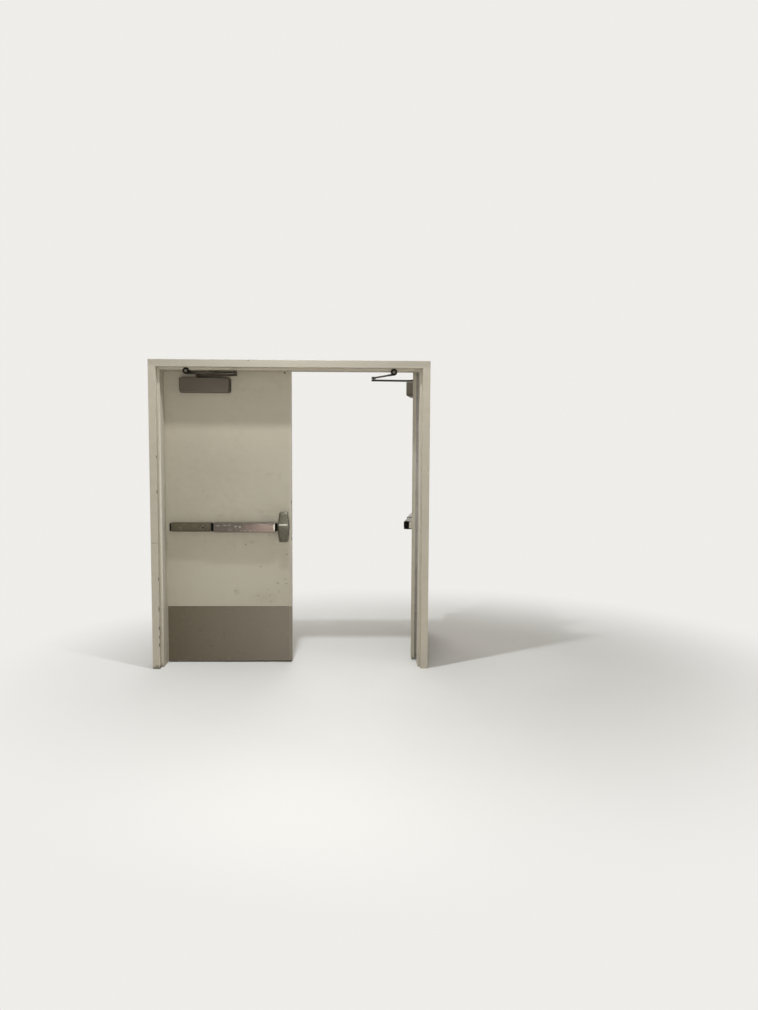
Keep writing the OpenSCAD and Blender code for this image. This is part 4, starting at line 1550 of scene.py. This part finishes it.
@dataclass
class ExitDevice(LeafPieces):
    """Touch-bar exit device: end cap, mechanism case, rail, touchpad and head."""

    height: float = 988 * MM
    start: float = 49 * MM
    end_cap: float = 12 * MM
    case_l: float = 280 * MM
    case_h: float = 60 * MM
    case_d: float = 64 * MM
    case_round: float = 8 * MM
    case_rim: float = 3 * MM
    dogging_in: float = 56 * MM
    cap_d: float = 24 * MM
    cap_round: float = 12 * MM
    pad_h: float = 68 * MM
    pad_out: float = 70 * MM
    pad_d: float = 34 * MM
    pad_t: float = 2.5 * MM
    pad_cap: float = 14 * MM
    pad_gap: float = 5 * MM
    pad_back: float = 42 * MM
    plunger_r: float = 5 * MM
    cap_inset: float = 6 * MM
    guard: float = 17 * MM
    head_w: float = 78 * MM
    head_h: float = 210 * MM
    head_d: float = 80 * MM

    @property
    def case_u(self) -> float:
        """Where the case begins."""
        return self.start + self.end_cap

    @property
    def case_end(self) -> float:
        """Where the case ends."""
        return self.case_u + self.case_l

    @property
    def case_front(self) -> float:
        """Where the case's front lies."""
        return DOORSET.push_v - self.case_d

    @property
    def head_u(self) -> float:
        """Where the head begins."""
        return DOORSET.leaf_end - self.guard - 1 * MM - self.head_w

    @property
    def pad_u(self) -> float:
        """Where the touchpad's first cap begins."""
        return self.case_end + self.pad_gap

    @property
    def pad_end(self) -> float:
        """Where the touchpad's last cap ends."""
        return self.head_u - self.pad_gap

    def build(self) -> None:
        """Models the device's pieces and hangs them on their bodies."""
        self.build_case()
        self.build_end_cap()
        self.build_bracket()
        self.build_pad()
        self.build_pad_caps()
        self.build_head()

    def build_case(self) -> None:
        """Models the case with its joints, the dogging cylinder and its keyway."""
        z, half, front = self.height, self.case_h / 2, self.case_front
        first, last = self.case_u + self.case_rim, self.case_end - self.case_rim
        high = (self.case_end, DOORSET.push_v - FIT, z + half)
        shape = self.block("case", (self.case_u, front, z - half), high)
        shape.bevel(running(X, lambda p: p.y < front + 1 * MM), self.case_round, 6)
        shape.cut(X, first, last)
        at_end = lambda face: not first < face.calc_center_median().x < last
        shape.sink(lambda face: at_end(face) and abs(face.normal.x) < 0.5 and face.normal.y < 0.5, 0.5 * MM)
        middle = (self.case_end - self.dogging_in, front + 1 * MM, z)
        boss = self.rod("dogging", middle, Y, -3 * MM, self.case_h * 0.31, 48)
        boss.bevel(rim(Y, front - 2 * MM), 1.0 * MM, 2)
        boss.inset(facing(Y, -1, FLAT), 3.4 * MM, (0, 1.4 * MM, 0))
        core = self.rod("cylinder_core", middle, Y, -2.6 * MM, self.case_h * 0.2)
        core.bevel(rim(Y, front - 1.6 * MM), 0.7 * MM, 2)
        shape.join(boss, core)
        self.swing(shape, Finishes.device, "bar_case")
        # The black keyway block stands in for the shade in the key slot
        low = (middle[0] - 3.4 * MM, front - 2.1 * MM, z - 6.5 * MM)
        high = (middle[0] + 3.4 * MM, front - 1 * MM, z + 6.5 * MM)
        key = self.block("keyway", low, high)
        key.bevel(running(Y), 2.6 * MM)
        key.inset(facing(Y, -1), 0.5 * MM, (0, 0.4 * MM, 0))
        self.swing(key, Finishes.plastic)

    def build_end_cap(self) -> None:
        """Models the black end cap."""
        z, half, front = self.height, self.case_h / 2 - 1.5 * MM, self.case_front
        low = (self.start, front + 1.5 * MM, z - half)
        cap = self.block("end_cap", low, (self.case_u - 0.1 * MM, DOORSET.push_v - self.cap_d, z + half))
        cap.bevel(running(X, lambda p: p.y < front + 3 * MM), self.cap_round, 7)
        cap.bevel(rim(X, self.start), 2 * MM)
        self.swing(cap, Finishes.plastic, "bar_end_cap")

    def build_bracket(self) -> None:
        """Models the bracket between the end cap and the leaf, with its two screws."""
        z, half, front = self.height, self.case_h / 2 - 6 * MM, DOORSET.push_v - self.cap_d
        high = (self.case_u - FIT, DOORSET.push_v - FIT, z + half)
        foot = self.block("end_bracket", (self.start + 2 * MM, front - 1 * MM, z - half), high)
        foot.bevel(running(Y), 5 * MM, 4)
        foot.inset(facing(X, -1), 4 * MM, (2.5 * MM, 0, 0))
        foot.join(self.screws("bracket_screws", 4.4 * MM, 1.8 * MM, [
            turned((self.start + 4.5 * MM, front + 11 * MM, z + s * 13 * MM), -QUARTER, Z) for s in (-1, 1)
        ]))
        self.swing(foot, Finishes.bracket)

    def build_pad(self) -> None:
        """Models the touchpad: a crowned shell, open behind and at its ends, and its plungers."""
        z, half, wall = self.height, self.pad_h / 2, self.pad_t
        front = DOORSET.push_v - self.pad_out
        back = front + self.pad_d
        u0, u1 = self.pad_u + self.pad_cap, self.pad_end - self.pad_cap
        shape = self.block("pad", (u0, front, z - half), (u1, back, z + half))
        shape.cut(Z, z - 0.22 * self.pad_h, z + 0.22 * self.pad_h)
        shape.bevel(running(X, lambda p: p.y < front + 0.5 * MM and abs(p.z - z) > half - 1 * MM), 7 * MM, 6)
        crown = lambda c: c.co.y < front + FIT and abs(c.co.z - z) > 0.36 * self.pad_h
        shape.move(crown, (0, 0.9 * MM, 0))
        sharp = lambda e: e.verts[0].co.y < back - 1 * MM and e.is_manifold and e.calc_face_angle(0) > 1.2
        shape.bevel(lambda e: rim(X, u0)(e) and sharp(e), 0.8 * MM, 2)
        inner = half - wall
        low, high = (u0 - 5 * MM, front + wall, z - inner), (u1 + 5 * MM, back + 5 * MM, z + inner)
        shape.carve(self.block("pad_hollow", low, high))
        length = self.pad_end - self.pad_u
        shape.join(*(
            self.rod(
                "plunger", (self.pad_u + share * length, front + wall, z), Y,
                self.pad_out - wall - 20 * MM, self.plunger_r, 24,
            )
            for share in (0.2, 0.8)
        ))
        self.swing(shape, Finishes.pad, "touchpad", body="bar")

    def build_pad_caps(self) -> None:
        """Models the touchpad's two recessed black caps."""
        z, half = self.height, self.pad_h / 2 - self.cap_inset
        front = DOORSET.push_v - self.pad_out + self.cap_inset
        back = DOORSET.push_v - self.pad_back
        long = self.pad_cap + 6 * MM
        pieces = []
        for low, high, end in (
            (self.pad_u, self.pad_u + long, self.pad_u), (self.pad_end - long, self.pad_end, self.pad_end),
        ):
            cap = self.block("pad_caps", (low, front, z - half), (high, back, z + half))
            cap.bevel(running(X, lambda p: p.y < front + 1 * MM), 4 * MM, 4)
            pieces.append(cap.bevel(rim(X, end), 1.6 * MM))
        self.swing(pieces[0].join(pieces[1]), Finishes.plastic, "pad_caps", body="bar")

    def build_head(self) -> None:
        """Models the head: barrel outline, sloped upper face, bright ridge and receding lower face."""
        z, top = self.height, self.head_h / 2
        u0, u1 = self.head_u, self.head_u + self.head_w
        middle = (u0 + u1) / 2
        front, back = DOORSET.push_v - self.head_d, DOORSET.push_v - FIT
        ridge, foot = self.head_h * 0.13, self.head_h * 0.065
        shape = self.block("head", (u0, front, z - top), (u1, back, z + top))
        shape.cut(Z, z + ridge, z + foot, z - ridge)
        lower = (foot + ridge) / (foot + top)
        level = lambda corner, height: abs(corner.co.z - z - height) < 0.1 * MM
        for height, share in ((top, 0.24), (ridge, 0.13), (-ridge, 0.26 * lower), (-top, 0.26)):
            shape.move(lambda c: level(c, height) and c.co.y < front + 1 * MM, (0, self.head_d * share, 0))
        taper = self.head_w * 0.17
        for height, share in ((top, 1.0), (-top, 0.8)):
            for way in (1, -1):
                end = lambda c: level(c, height) and (middle - c.co.x) * way > 0
                shape.move(end, (way * share * taper, 0, 0))
        for way, width, segments in ((1, 10 * MM, 1), (-1, 2.6 * MM, 3)):
            on_side = lambda c: (middle - c.co.x) * way > 0 and c.co.y < back - 15 * MM
            shape.bevel(lambda e: all(map(on_side, e.verts)) and span(e, Z) > 5 * MM, width, segments)
        ends = lambda e: abs(abs(sum(c.co.z for c in e.verts) / 2 - z) - top) < 0.1 * MM
        shape.bevel(lambda e: ends(e) and e.calc_face_angle(0) > 1.0, 4 * MM, 4)
        facets = lambda e: e.calc_face_angle(0) > 0.2 and max(c.co.y for c in e.verts) < back - 8 * MM
        shape.bevel(facets, 0.9 * MM, 2)
        self.swing(shape, Finishes.head, "bar_head")


@dataclass
class LeafTrim(LeafPieces):
    """Fasteners, small fittings and a dark strip standing in for the shade under a leaf."""

    kick_u: float = 20 * MM
    kick_end: float = 888.5 * MM
    kick_low: float = 14.5 * MM
    kick_top: float = 412.5 * MM
    kick_t: float = 1.3 * MM
    screw_margin: float = 14 * MM
    sweep_low: float = 2.5 * MM
    sweep_t: float = 7 * MM

    def build(self) -> None:
        """Models the kick plate's screws, the through bolts, the plugged hole and the dark strip that stands in
        for the shade under the leaf.
        """
        self.build_kick_screws()
        self.build_through_bolts()
        self.build_plug()
        self.build_sweep()

    def build_kick_screws(self) -> None:
        """Models the kick plate's screws along its edges."""
        low, top = self.kick_low + self.screw_margin, self.kick_top - self.screw_margin
        ends = (self.kick_u + self.screw_margin, self.kick_end - self.screw_margin)
        spots = [(ends[0] + (ends[1] - ends[0]) * i / 4, z) for i in range(5) for z in (low, top)]
        spots += [(u, (low + top) / 2) for u in ends]
        places = [Matrix.Translation((u, DOORSET.push_v - self.kick_t, z)) for u, z in spots]
        self.swing(self.screws("kick_screws", 3.6 * MM, 1.0 * MM, places), Finishes.kick)

    def build_through_bolts(self) -> None:
        """Models the round bolt heads on the pull side behind the closer and the exit device."""
        spots = [(u, z) for u in (165, 438) for z in (1960, 2016)]
        spots += [(u, z) for u in (82, 318) for z in (972, 1004)] + [(850, 920), (850, 1056)]
        places = [turned((u * MM, DOORSET.pull_v, z * MM), math.pi, Z) for u, z in spots]
        self.swing(self.screws("through_bolts", 8 * MM, 2.2 * MM, places), Finishes.plated)

    def build_plug(self) -> None:
        """Models the small plugged hole near the leaf's upper free corner and one screw below it."""
        face = DOORSET.push_v
        plug = self.rod("plug", (860 * MM, face + 0.5 * MM, 2080 * MM), Y, -1.2 * MM, 6.5 * MM, 28)
        plug.bevel(rim(Y, face - 0.7 * MM), 0.4 * MM, 2)
        plug.inset(facing(Y, -1, FLAT), 1.0 * MM, (0, 1.1 * MM, 0))
        below = Matrix.Translation((871 * MM, face, 788 * MM))
        plug.join(self.screws("low_screw", 4 * MM, 1.2 * MM, [below]))
        self.swing(plug, Finishes.arm)

    def build_sweep(self) -> None:
        """Models a dark strip in the gap under the leaf, standing in for the shade there."""
        v, low = DOORSET.push_v + 6 * MM, self.sweep_low
        high = (903 * MM, v + self.sweep_t, DOORSET.leaf_bottom + 3 * MM)
        strip = self.block("sweep", (12 * MM, v, low), high)
        strip.bevel(rim(Z, low), 1.2 * MM)
        strip.cut(Z, 7 * MM)
        strip.resize(facing(Z, -1), (1, 0.5, 1), (0, v + self.sweep_t / 2, low))
        self.swing(strip, Finishes.plastic)


@dataclass
class HingeScrews(LeafPieces):
    """Screws of a full-height hinge, in pairs of groups about its middle."""

    middle: float = 1055 * MM
    steps: tuple[float, ...] = (4, 16, 28, 34, 37, 40)
    inch: float = 25.4 * MM
    axis_v: float = -16 * MM
    off_plate: float = 2.5 * MM

    def build(self) -> None:
        """Models the heads on the leaf's edge and on the jamb."""
        heights = [self.middle + s * k * self.inch for k in self.steps for s in (-1, 1)]
        for part, sign, hang in (("door", 1, self.swing), ("jamb", -1, self.stay)):
            places = [turned((sign * self.off_plate, self.axis_v, z), -sign * QUARTER, Z) for z in heights]
            hang(self.screws(f"hinge_screws_{part}", 3.6 * MM, 0.8 * MM, places), Finishes.arm)


# Camera and studio


@dataclass(frozen=True)
class Viewpoint:
    """The photograph's viewing angle, with its turns in degrees and its lens in millimetres."""

    place: Point = (1.3788, -5.7651, 1.6185)
    pitch: float = 4.630
    yaw: float = 1.566
    roll: float = -0.294
    lens: float = 29.082
    sensor: float = 36

    def build(self) -> None:
        """Makes the camera and gives it to the scene."""
        p, y, r = (math.radians(a) for a in (self.pitch, self.yaw, self.roll))
        right = Vector((math.cos(y), -math.sin(y), 0))
        ahead = Vector((math.sin(y) * math.cos(p), math.cos(y) * math.cos(p), -math.sin(p)))
        up = Vector((math.sin(y) * math.sin(p), math.cos(y) * math.sin(p), math.cos(p)))
        x = right * math.cos(r) - up * math.sin(r)
        z_up = right * math.sin(r) + up * math.cos(r)
        data = bpy.data.cameras.new("viewpoint")
        data.lens, data.sensor_width, data.sensor_fit = self.lens, self.sensor, "AUTO"
        data.clip_start, data.clip_end = 0.05, 100
        camera = bpy.data.objects.new("viewpoint", data)
        bpy.context.scene.collection.objects.link(camera)
        camera.matrix_world = Matrix.Translation(self.place) @ Matrix((x, z_up, -ahead)).transposed().to_4x4()
        bpy.context.scene.camera = camera


@dataclass(frozen=True)
class Lamp:
    """One soft square lamp that the camera doesn't see, with its size in metres and its power in watts."""

    name: str
    place: Point
    target: Point
    size: float
    power: float
    colour: Colour = (1.0, 0.965, 0.9)

    def build(self) -> None:
        """Hangs the lamp and aims it."""
        data = bpy.data.lights.new(self.name, "AREA")
        data.shape, data.size, data.energy = "SQUARE", self.size, self.power
        data.color = self.colour
        obj = bpy.data.objects.new(self.name, data)
        obj.visible_camera = False
        bpy.context.scene.collection.objects.link(obj)
        aim = (Vector(self.target) - Vector(self.place)).to_track_quat("-Z", "Y")
        obj.matrix_world = Matrix.Translation(self.place) @ aim.to_matrix().to_4x4()


@dataclass(frozen=True)
class Studio:
    """A pale floor, a pale world and soft lamps."""

    floor_size: float = 60.0
    middle: Point = (0.9, 0, 0)
    fade: tuple[float, float] = (1.1, 3.2)
    pale: Colour = (0.8, 0.79, 0.76)
    horizon: Colour = (0.86, 0.85, 0.82)
    air: Colour = (1.0, 0.985, 0.96)
    air_strength: float = 0.275
    lamps: tuple[Lamp, ...] = (
        Lamp("key", (0.9, -0.73, 3.5), (0.9, -0.63, 0.0), 0.1, 50, (0.92, 0.96, 1.0)),
        Lamp("fill", (1.2, -5.4, 2.6), (0.8, 0.0, 0.9), 3.0, 37),
        Lamp("low", (0.8, -3.7, 0.95), (0.7, 0.0, 0.6), 1.2, 43),
        Lamp("side", (-3.6, -2.4, 2.0), (0.9, 0.0, 1.1), 2.4, 11),
        Lamp("right", (5.4, -2.7, 1.5), (0.0, 0.0, 1.0), 1.6, 30),
        Lamp("back", (0.9, 4.8, 4.2), (0.9, 0.6, 1.0), 3.4, 84),
    )

    def build(self) -> None:
        """Makes the floor, the world and the lamps."""
        self.build_floor()
        self.build_world()
        for lamp in self.lamps:
            lamp.build()
        bpy.context.scene.view_settings.view_transform = "Standard"

    def build_floor(self) -> None:
        """Makes the floor, which keeps the object's shadow."""
        bpy.ops.mesh.primitive_plane_add(size=self.floor_size, location=self.middle)
        plane = bpy.context.object
        plane.name = "floor"
        material = bpy.data.materials.new("studio_floor")
        material.use_nodes = True
        graph = Graph(material.node_tree)
        shader = material.node_tree.nodes["Principled BSDF"]
        vector = graph.add("TexCoord").outputs["Object"]
        cloud = graph.ramp(graph.noise(vector, 0.9, 4.0), 0.3, 0.7)
        graph.feed(shader.inputs["Base Color"], graph.mix(cloud, tinted(self.pale, 0.97), self.pale))
        shader.inputs["Roughness"].default_value = 0.8
        far = graph.ramp(graph.vector("DISTANCE", vector, self.middle), *self.fade)
        seen = graph.math("MULTIPLY", far, graph.add("LightPath").outputs["Is Camera Ray"])
        glow = graph.add("Emission", Color=self.horizon, Strength=1.0)
        mixed = graph.blend(seen, shader.outputs["BSDF"], glow.outputs[0])
        graph.feed(material.node_tree.nodes["Material Output"].inputs["Surface"], mixed)
        plane.data.materials.append(material)
        plane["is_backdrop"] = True

    def build_world(self) -> None:
        """Makes a soft grey world that looks pale to the camera and to reflections."""
        world = bpy.data.worlds.new("studio")
        bpy.context.scene.world = world
        world.use_nodes = True
        world.node_tree.nodes.clear()
        graph = Graph(world.node_tree)
        path = graph.add("LightPath")
        seen = path.outputs["Is Camera Ray"]
        for ray in ("Is Glossy Ray", "Is Transmission Ray"):
            seen = graph.math("MAXIMUM", seen, path.outputs[ray])
        light = graph.add("Background", Color=self.air, Strength=self.air_strength)
        shown = graph.add("Background", Color=self.horizon, Strength=1.0)
        mixed = graph.blend(seen, light.outputs[0], shown.outputs[0])
        graph.feed(graph.add("OutputWorld").inputs["Surface"], mixed)


def write_sizes() -> None:
    boxes = {"cad": [list(corner) for corner in CAD_BOX], "visual": [list(corner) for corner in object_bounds()]}


def main() -> None:
    """Builds and dresses the doorset, piece by piece."""
    logging.basicConfig(level=logging.INFO, format="%(message)s")
    bpy.ops.object.select_all(action="DESELECT")
    Viewpoint().build()
    Studio().build()
    log.info("camera, floor and lamps are in place")
    CarriedOver().dress()
    for side in Side:
        for pieces in (Closer, ExitDevice, LeafTrim, HingeScrews):
            pieces(side).build()
        log.info("%s leaf is dressed", side.value)
    write_sizes()


if __name__ == "__main__":
    main()
